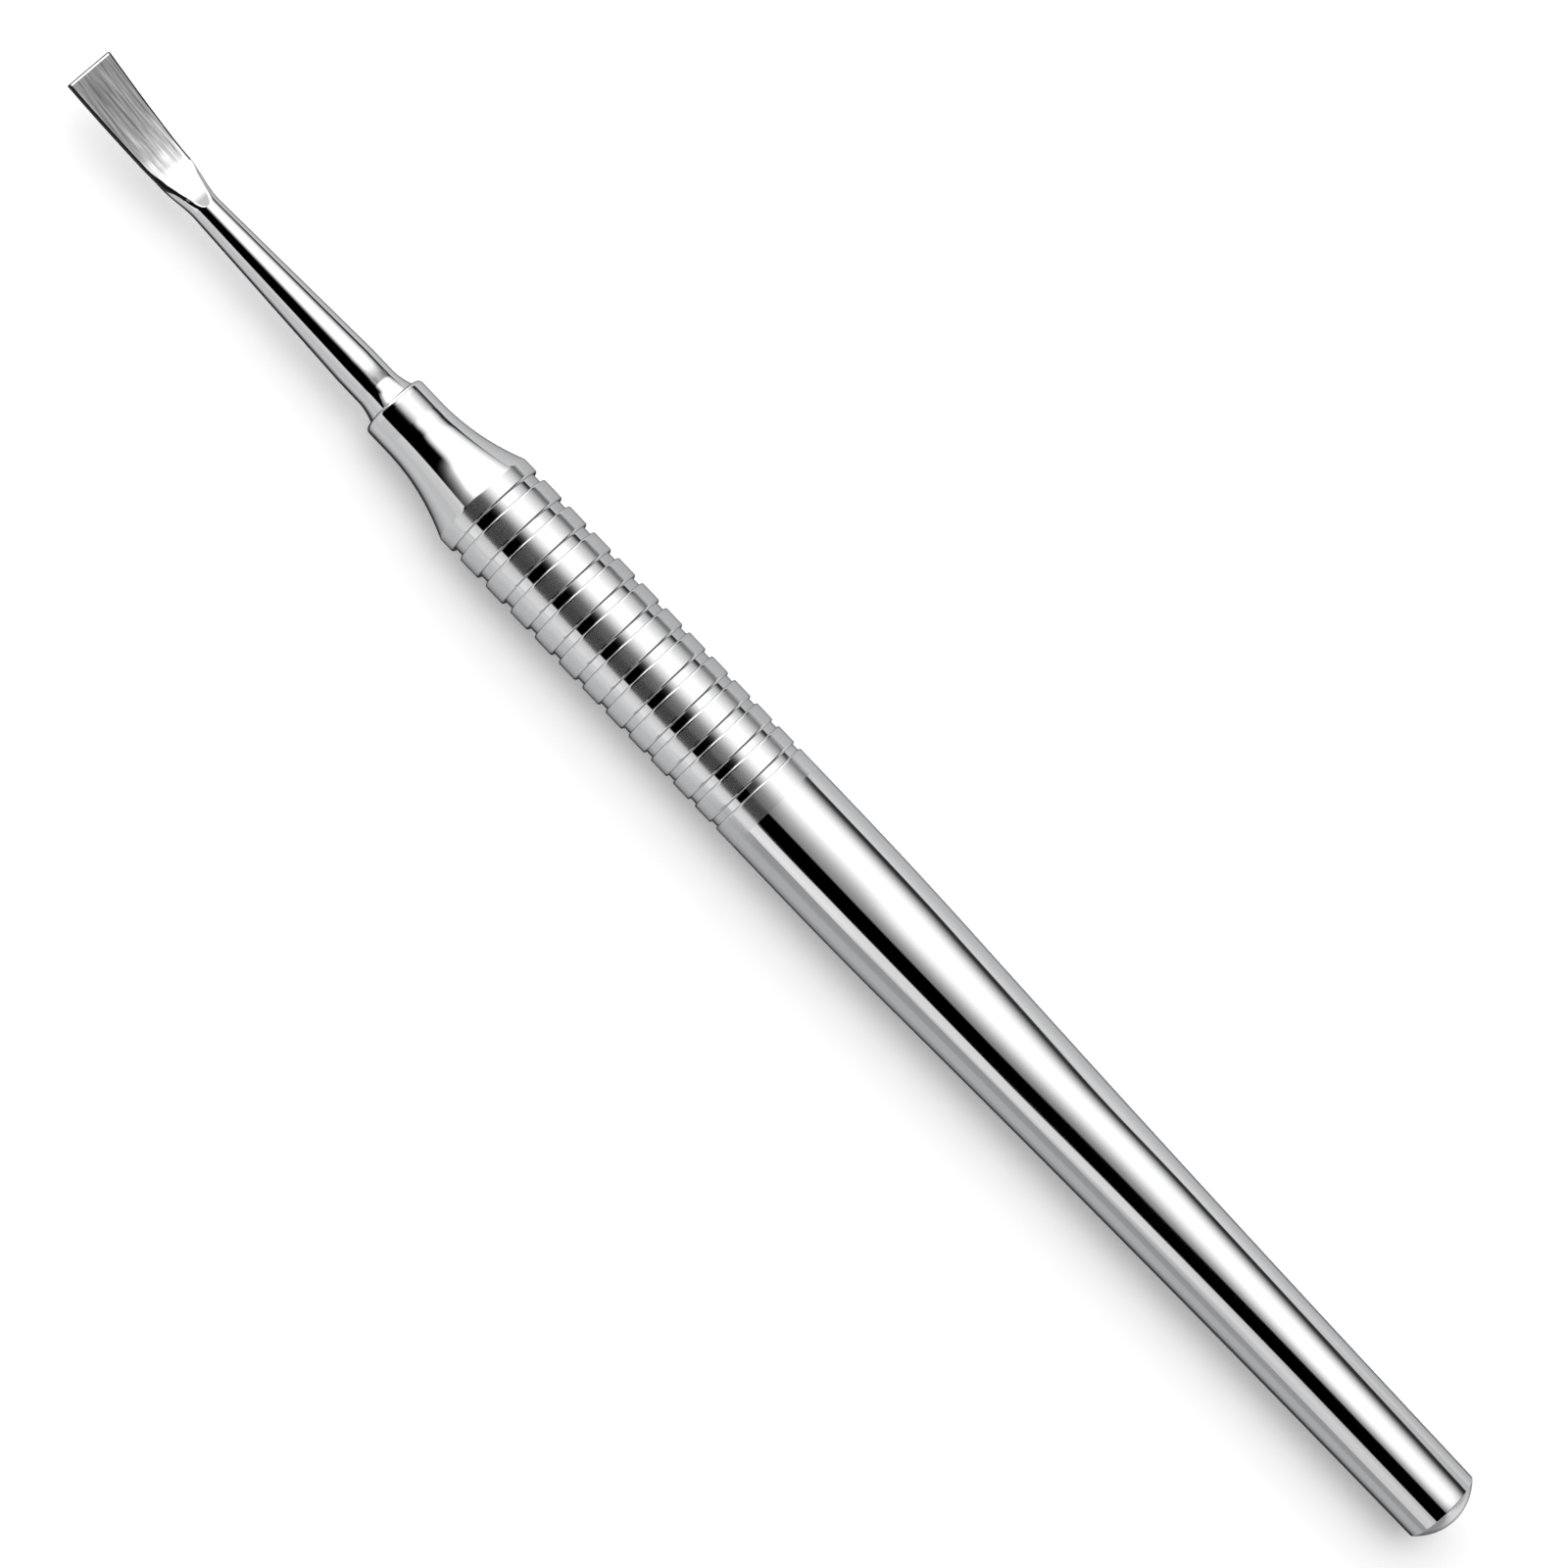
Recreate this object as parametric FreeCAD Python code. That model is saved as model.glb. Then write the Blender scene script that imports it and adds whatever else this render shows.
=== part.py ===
import FreeCAD, Part
import math
import os

# Chisel scaler: a straight hand instrument of polished stainless steel.
# Two pieces: a turned handle with a ringed grip, and a forged working end
# (tang, flared collar, tapered round shank and a flat blade) set in its nose.
#
# Frame, in millimetres: the origin is on the handle's axis at the middle of
# the ringed grip, +X runs to the domed butt, the blade is at -X with its
# ground face turned to +Z, and +Y completes the right-handed set.

Vector = FreeCAD.Vector

# Handle: ringed grip
GRIP_DIAMETER = 10.0
GROOVE_COUNT = 12
SHOULDER_WIDTH = 1.50          # first land, from the shoulder to the first groove
FIRST_PITCH = 3.13             # from the first groove to the second
LAST_PITCH = 2.67              # from the last groove but one to the last
FIRST_GROOVE_WIDTH = 0.88
LAST_GROOVE_WIDTH = 0.62
FIRST_GROOVE_DEPTH = 0.40
LAST_GROOVE_DEPTH = 0.22
LAND_EDGE_BREAK = 0.09         # chamfer on the edges of every land

# Handle: nose, throat, barrel and butt
NOSE_DIAMETER = 6.35
NOSE_LENGTH = 2.70             # plain length in front of the throat
NOSE_EDGE_RADIUS = 0.42
THROAT_LENGTH = 8.55           # hollow cone between the nose and the shoulder
BARREL_STRAIGHT = 8.0          # plain length behind the last groove
BARREL_BLEND = 14.0            # soft bend from the plain length into the taper
BARREL_TAPER = 63.0            # from the end of the bend to the butt's rim
BARREL_WAIST_DIAMETER = 8.24   # half way along the taper
BUTT_DIAMETER = 7.32
BUTT_DOME_HEIGHT = 1.62
BUTT_RIM_RADIUS = 0.28

# Joint between the two pieces
TANG_DIAMETER = 3.2
TANG_LENGTH = 11.0
TANG_END_CHAMFER = 0.3
TANG_CLEARANCE = 0.02          # radial, filled by the braze
SOCKET_END_GAP = 0.4           # room in front of the tang's end

# Working end: flare, neck and shank
FLARE_DIAMETER = 4.98
FLARE_LENGTH = 1.85
FLARE_HOLLOW = 0.075           # how far the flare's side is hollowed
NECK_DIAMETER = 4.05
NECK_LENGTH = 2.80
SHANK_TAPER_LENGTH = 18.35
SHANK_END_DIAMETER = 2.72

# Working end: blade
FACE_HEIGHT = 1.12             # flat of the face above the shank's axis
RUNOUT_RADIUS = 3.6            # where the face runs out through the shank
FLAT_LENGTH = 3.1              # flat stretch of the face, from the run-out
BEND_RADIUS = 8.2
BEND_ANGLE = 14.0              # degrees, at the end of the bend
BLADE_CURVE_RADIUS = 60.0
TIP_ANGLE = 22.5               # degrees, of the face at the cutting end
BLADE_THICKNESS = 0.70
TIP_WIDTH = 4.70
HEEL_WIDTH = 3.54
HEEL_CORNER_RADIUS = 0.9
SHOULDER_TO_BEND = 0.75        # from the blade's shoulders to the start of the bend
SHOULDER_SLOPE = 25.0          # degrees, of the shoulders to the axis
EDGE_BEVEL = 0.14              # run of the bevel along the cutting end
BEVEL_ANGLE = -45.0            # degrees, of the bevel against the face
TAIL_LENGTH = 1.3              # of the blade behind its shoulders, inside the root
GRINDING_STOCK = 1.2           # height of the blank over the ground face
ROOT_LENGTH = 7.3              # of the rounded root that runs out on the back
ROOT_BULGE = 0.04              # how far the root stands out past the shoulders
ROOT_WIDEST = 0.56             # share of the root's length where it is widest
ROOT_SECTIONS = 9
ROOT_SINK = 3.2                # how late the root thins towards its end
ROOT_RISE = 1.3                # how late its middle rises with the blade
ROOT_END_SHARE = 0.70          # width of the root's end against the blade's heel


def ease(share):
    """Smooth rise from 0 to 1 with level ends."""
    share = min(max(share, 0.0), 1.0)
    return share * share * (3.0 - 2.0 * share)


def at(x, z):
    """Point in the XZ plane."""
    return Vector(x, 0, z)


def line(start, end):
    return Part.LineSegment(start, end).toShape()


def arc(start, middle, end):
    return Part.Arc(start, middle, end).toShape()


def curve(start, knee, end):
    """Smooth curve that leaves start and reaches end in line with the knee between them."""
    bezier = Part.BezierCurve()
    bezier.setPoles([start, knee, end])
    return bezier.toShape()


def arc_about(centre, radius, from_angle, to_angle):
    """Arc under a centre; angles in degrees, from straight down towards -X."""
    def point(angle):
        turn = math.radians(angle)
        return at(centre.x - radius * math.sin(turn), centre.z - radius * math.cos(turn))

    return arc(point(from_angle), point((from_angle + to_angle) / 2), point(to_angle))


def ends(edge):
    """First and last point of an edge, in the order in which it was drawn."""
    return edge.valueAt(edge.FirstParameter), edge.valueAt(edge.LastParameter)


def turned(edges):
    """Solid of revolution about X from an outline that is closed on the axis."""
    face = Part.Face(Part.Wire(edges))
    return face.revolve(Vector(0, 0, 0), Vector(1, 0, 0), 360)


def prism(edges, half_width):
    """Outline in the XZ plane, drawn out by half_width to both sides."""
    face = Part.Face(Part.Wire(edges))
    face.translate(Vector(0, -half_width, 0))
    return face.extrude(Vector(0, 2 * half_width, 0))


def spread(first, last, index, count):
    """Value number index of count values that change evenly from first to last."""
    return first + (last - first) * index / (count - 1)


# Stations along the handle
GROOVE_PITCHES = [spread(FIRST_PITCH, LAST_PITCH, i, GROOVE_COUNT - 1) for i in range(GROOVE_COUNT - 1)]
GROOVE_WIDTHS = [spread(FIRST_GROOVE_WIDTH, LAST_GROOVE_WIDTH, i, GROOVE_COUNT) for i in range(GROOVE_COUNT)]
GROOVE_DEPTHS = [spread(FIRST_GROOVE_DEPTH, LAST_GROOVE_DEPTH, i, GROOVE_COUNT) for i in range(GROOVE_COUNT)]
GRIP_LENGTH = (SHOULDER_WIDTH + FIRST_GROOVE_WIDTH / 2 + sum(GROOVE_PITCHES) + LAST_GROOVE_WIDTH / 2)
SHOULDER_X = -GRIP_LENGTH / 2
FIRST_GROOVE_X = SHOULDER_X + SHOULDER_WIDTH + FIRST_GROOVE_WIDTH / 2
GROOVE_CENTRES = [FIRST_GROOVE_X + sum(GROOVE_PITCHES[:i]) for i in range(GROOVE_COUNT)]
GRIP_END_X = SHOULDER_X + GRIP_LENGTH
NOSE_X = SHOULDER_X - THROAT_LENGTH - NOSE_LENGTH
PLAIN_END_X = GRIP_END_X + BARREL_STRAIGHT
TAPER_X = PLAIN_END_X + BARREL_BLEND / 2
RIM_X = PLAIN_END_X + BARREL_BLEND + BARREL_TAPER

# Stations along the working end
FLARE_START_X = NOSE_X - FLARE_LENGTH
NECK_START_X = FLARE_START_X - NECK_LENGTH
SHANK_END_X = NECK_START_X - SHANK_TAPER_LENGTH
SHANK_END_RADIUS = SHANK_END_DIAMETER / 2


def nose_and_throat():
    """Outline from the socket's mouth over the nose to the shoulder."""
    nose_radius = NOSE_DIAMETER / 2
    corner = at(NOSE_X + NOSE_EDGE_RADIUS, nose_radius - NOSE_EDGE_RADIUS)
    reach = NOSE_EDGE_RADIUS * math.sqrt(0.5)
    throat_x = SHOULDER_X - THROAT_LENGTH
    return [
        line(at(NOSE_X, TANG_DIAMETER / 2 + TANG_CLEARANCE), at(NOSE_X, corner.z)),
        arc(at(NOSE_X, corner.z), corner + at(-reach, reach), at(corner.x, nose_radius)),
        line(at(corner.x, nose_radius), at(throat_x, nose_radius)),
        curve(at(throat_x, nose_radius), at(throat_x + THROAT_LENGTH / 2, nose_radius),
              at(SHOULDER_X, GRIP_DIAMETER / 2)),
    ]


def groove(centre, width, depth):
    """Corner points of one groove with the broken edges of the lands beside it."""
    radius = GRIP_DIAMETER / 2
    half = width / 2
    return [
        at(centre - half - LAND_EDGE_BREAK, radius),
        at(centre - half, radius - LAND_EDGE_BREAK),
        at(centre - half, radius - depth),
        at(centre + half, radius - depth),
        at(centre + half, radius - LAND_EDGE_BREAK),
        at(centre + half + LAND_EDGE_BREAK, radius),
    ]


def ringed_grip():
    """Outline of the lands and grooves, up to the start of the barrel's bend."""
    points = [at(SHOULDER_X, GRIP_DIAMETER / 2)]
    for centre, width, depth in zip(GROOVE_CENTRES, GROOVE_WIDTHS, GROOVE_DEPTHS):
        points += groove(centre, width, depth)
    points.append(at(PLAIN_END_X, GRIP_DIAMETER / 2))
    return [line(a, b) for a, b in zip(points, points[1:])]


def taper_point(x):
    """Radius and slope of the barrel's hollow taper: a parabola through its three sizes."""
    half = (RIM_X - TAPER_X) / 2
    share = (x - TAPER_X) / half - 1
    start, waist, end = GRIP_DIAMETER / 2, BARREL_WAIST_DIAMETER / 2, BUTT_DIAMETER / 2
    lean = (end - start) / 2
    cup = (end + start) / 2 - waist
    return waist + lean * share + cup * share ** 2, (lean + 2 * cup * share) / half


def barrel_and_butt():
    """Outline of the soft bend, the long hollow taper, the rim and the dome."""
    grip_radius = GRIP_DIAMETER / 2
    butt_radius = BUTT_DIAMETER / 2
    dome_radius = (butt_radius ** 2 + BUTT_DOME_HEIGHT ** 2) / (2 * BUTT_DOME_HEIGHT)
    dome_x = RIM_X + BUTT_DOME_HEIGHT - dome_radius
    rim_z = butt_radius - BUTT_RIM_RADIUS
    rim_x = dome_x + math.sqrt((dome_radius - BUTT_RIM_RADIUS) ** 2 - rim_z ** 2)
    dome_turn = math.atan2(rim_z, rim_x - dome_x)

    def on_dome(turn):
        return at(dome_x + dome_radius * math.cos(turn), dome_radius * math.sin(turn))

    join_x = PLAIN_END_X + BARREL_BLEND
    join_z, join_slope = taper_point(join_x)
    join = at(join_x, join_z)
    knee = at(join_x + (grip_radius - join_z) / join_slope, grip_radius)
    rim = at(rim_x, butt_radius)
    hollow = at((join_x + rim_x) / 2, join_z + join_slope * (rim_x - join_x) / 2)
    rim_turn = (math.pi / 2 + dome_turn) / 2
    rim_middle = at(rim_x + BUTT_RIM_RADIUS * math.cos(rim_turn),
                    rim_z + BUTT_RIM_RADIUS * math.sin(rim_turn))
    return [
        curve(at(PLAIN_END_X, grip_radius), knee, join),
        curve(join, hollow, rim),
        arc(rim, rim_middle, on_dome(dome_turn)),
        arc(on_dome(dome_turn), on_dome(dome_turn / 2), on_dome(0)),
    ]


def handle():
    """Turned handle with its blind socket."""
    socket_radius = TANG_DIAMETER / 2 + TANG_CLEARANCE
    socket_end = NOSE_X + TANG_LENGTH + SOCKET_END_GAP
    apex = at(RIM_X + BUTT_DOME_HEIGHT, 0)
    edges = nose_and_throat() + ringed_grip() + barrel_and_butt()
    edges += [
        line(apex, at(socket_end, 0)),
        line(at(socket_end, 0), at(socket_end, socket_radius)),
        line(at(socket_end, socket_radius), at(NOSE_X, socket_radius)),
    ]
    return turned(edges)


def shank():
    """Tang, flare, neck and the tapered round shank, as one turned form."""
    tang_radius = TANG_DIAMETER / 2
    tang_end = NOSE_X + TANG_LENGTH
    flare = at(NOSE_X, FLARE_DIAMETER / 2)
    neck = at(FLARE_START_X, NECK_DIAMETER / 2)
    hollow = at((flare.x + neck.x) / 2, (flare.z + neck.z) / 2 - 2 * FLARE_HOLLOW)
    points = [
        at(SHANK_END_X, 0),
        at(tang_end, 0),
        at(tang_end, tang_radius - TANG_END_CHAMFER),
        at(tang_end - TANG_END_CHAMFER, tang_radius),
        at(NOSE_X, tang_radius),
        flare,
    ]
    edges = [line(a, b) for a, b in zip(points, points[1:])]
    edges += [
        curve(flare, hollow, neck),
        line(neck, at(NECK_START_X, NECK_DIAMETER / 2)),
        line(at(NECK_START_X, NECK_DIAMETER / 2), at(SHANK_END_X, SHANK_END_RADIUS)),
        line(at(SHANK_END_X, SHANK_END_RADIUS), at(SHANK_END_X, 0)),
    ]
    return turned(edges)


# The face's side view, from the run-out to the cutting end
RUNOUT_RISE = SHANK_END_RADIUS - FACE_HEIGHT
RUNOUT_LENGTH = math.sqrt(max(2 * RUNOUT_RADIUS * RUNOUT_RISE - RUNOUT_RISE ** 2, 0.0))
FLAT_START_X = SHANK_END_X - RUNOUT_LENGTH
BEND_START_X = FLAT_START_X - FLAT_LENGTH
SHOULDERS_X = BEND_START_X + SHOULDER_TO_BEND
BEND_CENTRE = at(BEND_START_X, FACE_HEIGHT + BEND_RADIUS)
BEND_TURN = math.radians(BEND_ANGLE)
CURVE_SHIFT = BLADE_CURVE_RADIUS - BEND_RADIUS
CURVE_CENTRE = at(BEND_CENTRE.x + CURVE_SHIFT * math.sin(BEND_TURN),
                  BEND_CENTRE.z + CURVE_SHIFT * math.cos(BEND_TURN))


def blade_line(depth, tip_angle):
    """Edges at a depth under the face, from the shoulders to the cutting end."""
    start = at(SHOULDERS_X, FACE_HEIGHT - depth)
    bend = arc_about(BEND_CENTRE, BEND_RADIUS + depth, 0, BEND_ANGLE)
    sweep = arc_about(CURVE_CENTRE, BLADE_CURVE_RADIUS + depth, BEND_ANGLE, tip_angle)
    return [line(start, ends(bend)[0]), bend, sweep]


def blade_plan():
    """Upright outline of the blade: straight flared sides and rounded shoulders."""
    foot = ends(blade_line(BLADE_THICKNESS, TIP_ANGLE)[-1])[1]
    slope = (TIP_WIDTH - HEEL_WIDTH) / 2 / (SHOULDERS_X - foot.x)
    past = BLADE_THICKNESS
    half_plan = [
        (foot.x - past, TIP_WIDTH / 2 + past * slope),
        (SHOULDERS_X, HEEL_WIDTH / 2),
        (SHOULDERS_X + TAIL_LENGTH, HEEL_WIDTH / 2 - TAIL_LENGTH * math.tan(math.radians(SHOULDER_SLOPE))),
    ]
    corners = [Vector(x, y, -TIP_WIDTH) for x, y in half_plan]
    corners += [Vector(x, -y, -TIP_WIDTH) for x, y in reversed(half_plan)]
    outline = Part.Face(Part.makePolygon(corners + corners[:1])).extrude(Vector(0, 0, 4 * TIP_WIDTH))
    shoulders = [edge for edge in outline.Edges
                 if all(abs(vertex.X - SHOULDERS_X) < 1e-6 for vertex in edge.Vertexes)]
    return outline.makeFillet(HEEL_CORNER_RADIUS, shoulders)


def blade_blank():
    """The flat blade before its face is ground: the back is finished, the top stands proud."""
    back = blade_line(BLADE_THICKNESS, TIP_ANGLE)
    top = blade_line(-GRINDING_STOCK, TIP_ANGLE)
    tail_top = ends(top[0])[0] + at(TAIL_LENGTH, 0)
    tail_foot = ends(back[0])[0] + at(TAIL_LENGTH, 0)
    side_view = [line(tail_top, ends(top[0])[0])] + top + [line(ends(top[-1])[1], ends(back[-1])[1])]
    side_view += back[::-1] + [line(ends(back[0])[0], tail_foot), line(tail_foot, tail_top)]
    return prism(side_view, TIP_WIDTH).common(blade_plan())


def face_height(x):
    """Height of the face over the axis at a station."""
    run = BEND_START_X - x
    if run <= 0:
        return FACE_HEIGHT
    if run <= BEND_RADIUS * math.sin(BEND_TURN):
        return BEND_CENTRE.z - math.sqrt(BEND_RADIUS ** 2 - run ** 2)
    return CURVE_CENTRE.z - math.sqrt(BLADE_CURVE_RADIUS ** 2 - (CURVE_CENTRE.x - x) ** 2)


def root_ring(share):
    """Oval across the root: round at the shank, low and inside the blade at its end."""
    x = SHANK_END_X - share * ROOT_LENGTH
    shank_slope = (NECK_DIAMETER - SHANK_END_DIAMETER) / 2 / SHANK_TAPER_LENGTH
    round_radius = SHANK_END_RADIUS - shank_slope * share * ROOT_LENGTH * (1 - share) ** 2
    widest = HEEL_WIDTH / 2 + ROOT_BULGE
    if share <= ROOT_WIDEST:
        half_width = round_radius + (widest - round_radius) * ease(share / ROOT_WIDEST)
    else:
        fall = ease((share - ROOT_WIDEST) / (1 - ROOT_WIDEST))
        half_width = widest + (ROOT_END_SHARE * HEEL_WIDTH / 2 - widest) * fall
    end_height = BLADE_THICKNESS / 4
    end_lift = face_height(SHANK_END_X - ROOT_LENGTH) - BLADE_THICKNESS / 2
    half_height = round_radius + (end_height - round_radius) * share ** ROOT_SINK
    lift = end_lift * share ** ROOT_RISE
    ring = Part.Circle(Vector(0, 0, 0), Vector(0, 0, 1), 1).toBSpline()
    poles = [Vector(x, pole.x * half_width, lift + pole.y * half_height) for pole in ring.getPoles()]
    oval = Part.BSplineCurve()
    oval.buildFromPolesMultsKnots(poles, ring.getMultiplicities(), ring.getKnots(), ring.isPeriodic(),
                                  ring.Degree, ring.getWeights())
    return Part.Wire(oval.toShape())


def blade_root():
    """Rounded root that carries the shank into the blade and dies out on its back."""
    rings = [root_ring(i / (ROOT_SECTIONS - 1)) for i in range(ROOT_SECTIONS)]
    return Part.makeLoft(rings, True, False)


def above_face():
    """Everything that grinding takes off: over the run-out, the face and the end bevel."""
    reach = math.degrees(math.acos(1 - (SHANK_END_DIAMETER - FACE_HEIGHT) / RUNOUT_RADIUS))
    runout = arc_about(at(FLAT_START_X, FACE_HEIGHT + RUNOUT_RADIUS), RUNOUT_RADIUS, -reach, 0)
    crest_angle = TIP_ANGLE - math.degrees(EDGE_BEVEL / BLADE_CURVE_RADIUS)
    face = blade_line(0, crest_angle)
    start = ends(runout)[0]
    crest = ends(face[-1])[1]
    turn = math.radians(crest_angle + BEVEL_ANGLE)
    past = crest + at(-math.cos(turn), math.sin(turn)) * BLADE_THICKNESS
    over = crest.z + GRINDING_STOCK * 2
    edges = [runout, line(ends(runout)[1], ends(face[0])[0])] + face
    edges += [line(crest, past), line(past, at(past.x, over)), line(at(past.x, over), at(start.x, over)),
              line(at(start.x, over), start)]
    return prism(edges, TIP_WIDTH)


def working_end():
    """Forged blade and shank in one piece, with the tang behind them."""
    blank = shank().fuse([blade_root(), blade_blank()])
    return blank.cut(above_face()).removeSplitter()


def write(name, shape):
    """Writes the one solid that a finished piece must be."""
    if len(shape.Solids) != 1 or not shape.isValid():
        raise ValueError(name + " is not one valid solid")
    shape.Solids[0].exportStep(os.path.join("parts", name + ".step"))


def main():
    os.makedirs("parts", exist_ok=True)
    write("handle", handle())
    write("working_end", working_end())


main()
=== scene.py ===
import math

import bmesh
import bpy
from bpy.props import FloatProperty, FloatVectorProperty, IntProperty
from mathutils import Matrix, Vector


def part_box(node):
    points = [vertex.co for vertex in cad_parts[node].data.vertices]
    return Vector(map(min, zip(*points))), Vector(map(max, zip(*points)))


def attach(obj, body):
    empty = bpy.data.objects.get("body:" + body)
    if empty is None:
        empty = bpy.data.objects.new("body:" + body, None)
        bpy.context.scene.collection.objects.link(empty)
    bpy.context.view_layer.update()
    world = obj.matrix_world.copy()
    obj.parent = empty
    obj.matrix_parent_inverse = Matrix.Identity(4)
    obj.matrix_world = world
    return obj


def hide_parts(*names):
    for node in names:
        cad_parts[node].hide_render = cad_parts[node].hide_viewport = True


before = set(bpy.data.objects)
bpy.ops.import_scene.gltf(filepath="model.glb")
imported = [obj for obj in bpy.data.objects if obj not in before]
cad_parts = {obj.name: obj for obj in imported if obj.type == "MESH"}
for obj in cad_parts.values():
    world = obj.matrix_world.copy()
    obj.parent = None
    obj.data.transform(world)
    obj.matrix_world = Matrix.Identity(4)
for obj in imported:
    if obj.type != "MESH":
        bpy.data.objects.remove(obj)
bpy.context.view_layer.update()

bl_info = {
    "name": "Chisel scaler",
    "version": (1, 0, 0),
    "blender": (4, 5, 0),
    "location": "View3D > Sidebar > Scaler",
    "description": "Builds a polished hand scaler with a ringed handle round its packed solids",
    "category": "Add Mesh",
}

# The instrument lies along X: blade at -X, domed butt at +X, ground face up.
HANDLE_LOW, HANDLE_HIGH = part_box("handle")
GRIP_RADIUS = HANDLE_HIGH.z
NOSE_X = HANDLE_LOW.x
APEX_X = HANDLE_HIGH.x
MM = 0.001

# How finely the meshes are cut, and the small fixed sizes inside them
AROUND = 180                      # faces round the turned handle
FACE_COLUMNS = 24                 # faces across the blade
EDGE_FACES = 4                    # faces over the rounded edge of the blade
SHARP_EDGE = math.radians(28)     # edges with a stronger bend are shaded sharp
WELD = 1e-8                       # vertices closer than this are one
LAND_FLAT = 0.2                   # flat inside a land's edge, as a share of the edge
CURL_LENGTH = 0.8 * MM            # length over which the neck curls in
SIDE_BOW = 1.2 * MM               # height of the side's curve on the flat blade
LEAST_SIDE = 0.002 * MM           # how far a side always stands out past its corner
FLAT_BACK_FROM = 0.35             # share of the root's length where its back starts to flatten
EDGE_CAP = 0.3                    # largest share of the half width that an edge may take
RUNOUT_CROWDING = 1.6             # how closely the rings crowd where the face leaves the shank

# Extra rounding of the lower edge, in mm behind the shoulders: (where there is none, where it is in full)
SHOULDER_RISE, SHOULDER_FALL = (-1.9, -0.3), (1.2, -0.1)
ROOT_RISE, ROOT_FALL, ROOT_SHARE = (1.6, 2.6), (3.8, 2.2), 0.6


def size(name, millimetres, description):
    """A length in metres, with its default given in millimetres."""
    return FloatProperty(name=name, description=description, default=millimetres * MM, unit="LENGTH",
                         precision=5)


def angle(name, degrees, description):
    """An angle that the sidebar shows in degrees."""
    return FloatProperty(name=name, description=description, default=math.radians(degrees), subtype="ANGLE")


def share(name, default, description, top=1.0):
    """A plain number from 0 to top."""
    return FloatProperty(name=name, description=description, default=default, min=0.0, max=top, precision=3)


def colour(name, default, description):
    """A linear colour."""
    return FloatVectorProperty(name=name, description=description, default=default, size=3,
                               subtype="COLOR", min=0.0, max=1.0)


class HandleSizes(bpy.types.PropertyGroup):
    """Sizes of the turned handle."""
    groove_count: IntProperty(name="Grooves", description="Grooves turned into the grip", default=12)
    shoulder_width: size("Shoulder width", 1.50, "First land, from the shoulder to the first groove")
    first_pitch: size("First pitch", 3.13, "From the first groove to the second")
    last_pitch: size("Last pitch", 2.67, "From the last groove but one to the last")
    first_groove_width: size("First groove width", 0.88, "Width of the groove next to the shoulder")
    last_groove_width: size("Last groove width", 0.62, "Width of the groove next to the barrel")
    first_groove_depth: size("First groove depth", 0.40, "Depth of the groove next to the shoulder")
    last_groove_depth: size("Last groove depth", 0.22, "Depth of the groove next to the barrel")
    land_edge_break: size("Land edge", 0.21, "Rounding on both edges of every land")
    nose_diameter: size("Nose diameter", 6.35, "Plain nose that takes the working end")
    nose_edge_radius: size("Nose edge", 0.42, "Rounding round the socket's mouth")
    nose_length: size("Nose length", 2.70, "Plain length in front of the throat")
    throat_length: size("Throat length", 8.55, "Hollow cone between nose and shoulder")
    satin_tail: size("Satin tail", 2.20, "Satin length behind the last groove")
    barrel_straight: size("Barrel straight", 8.0, "Plain length behind the last groove")
    barrel_blend: size("Barrel blend", 14.0, "Soft bend from the plain length to the taper")
    barrel_taper: size("Barrel taper", 63.0, "From the end of the bend to the butt's rim")
    barrel_waist: size("Barrel waist", 8.24, "Diameter half way along the taper")
    butt_diameter: size("Butt diameter", 7.32, "Diameter at the butt's rim")
    butt_dome: size("Butt dome", 1.62, "Height of the dome over the rim")
    butt_rim_radius: size("Butt rim", 0.10, "Rounding between the barrel and the dome")


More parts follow.
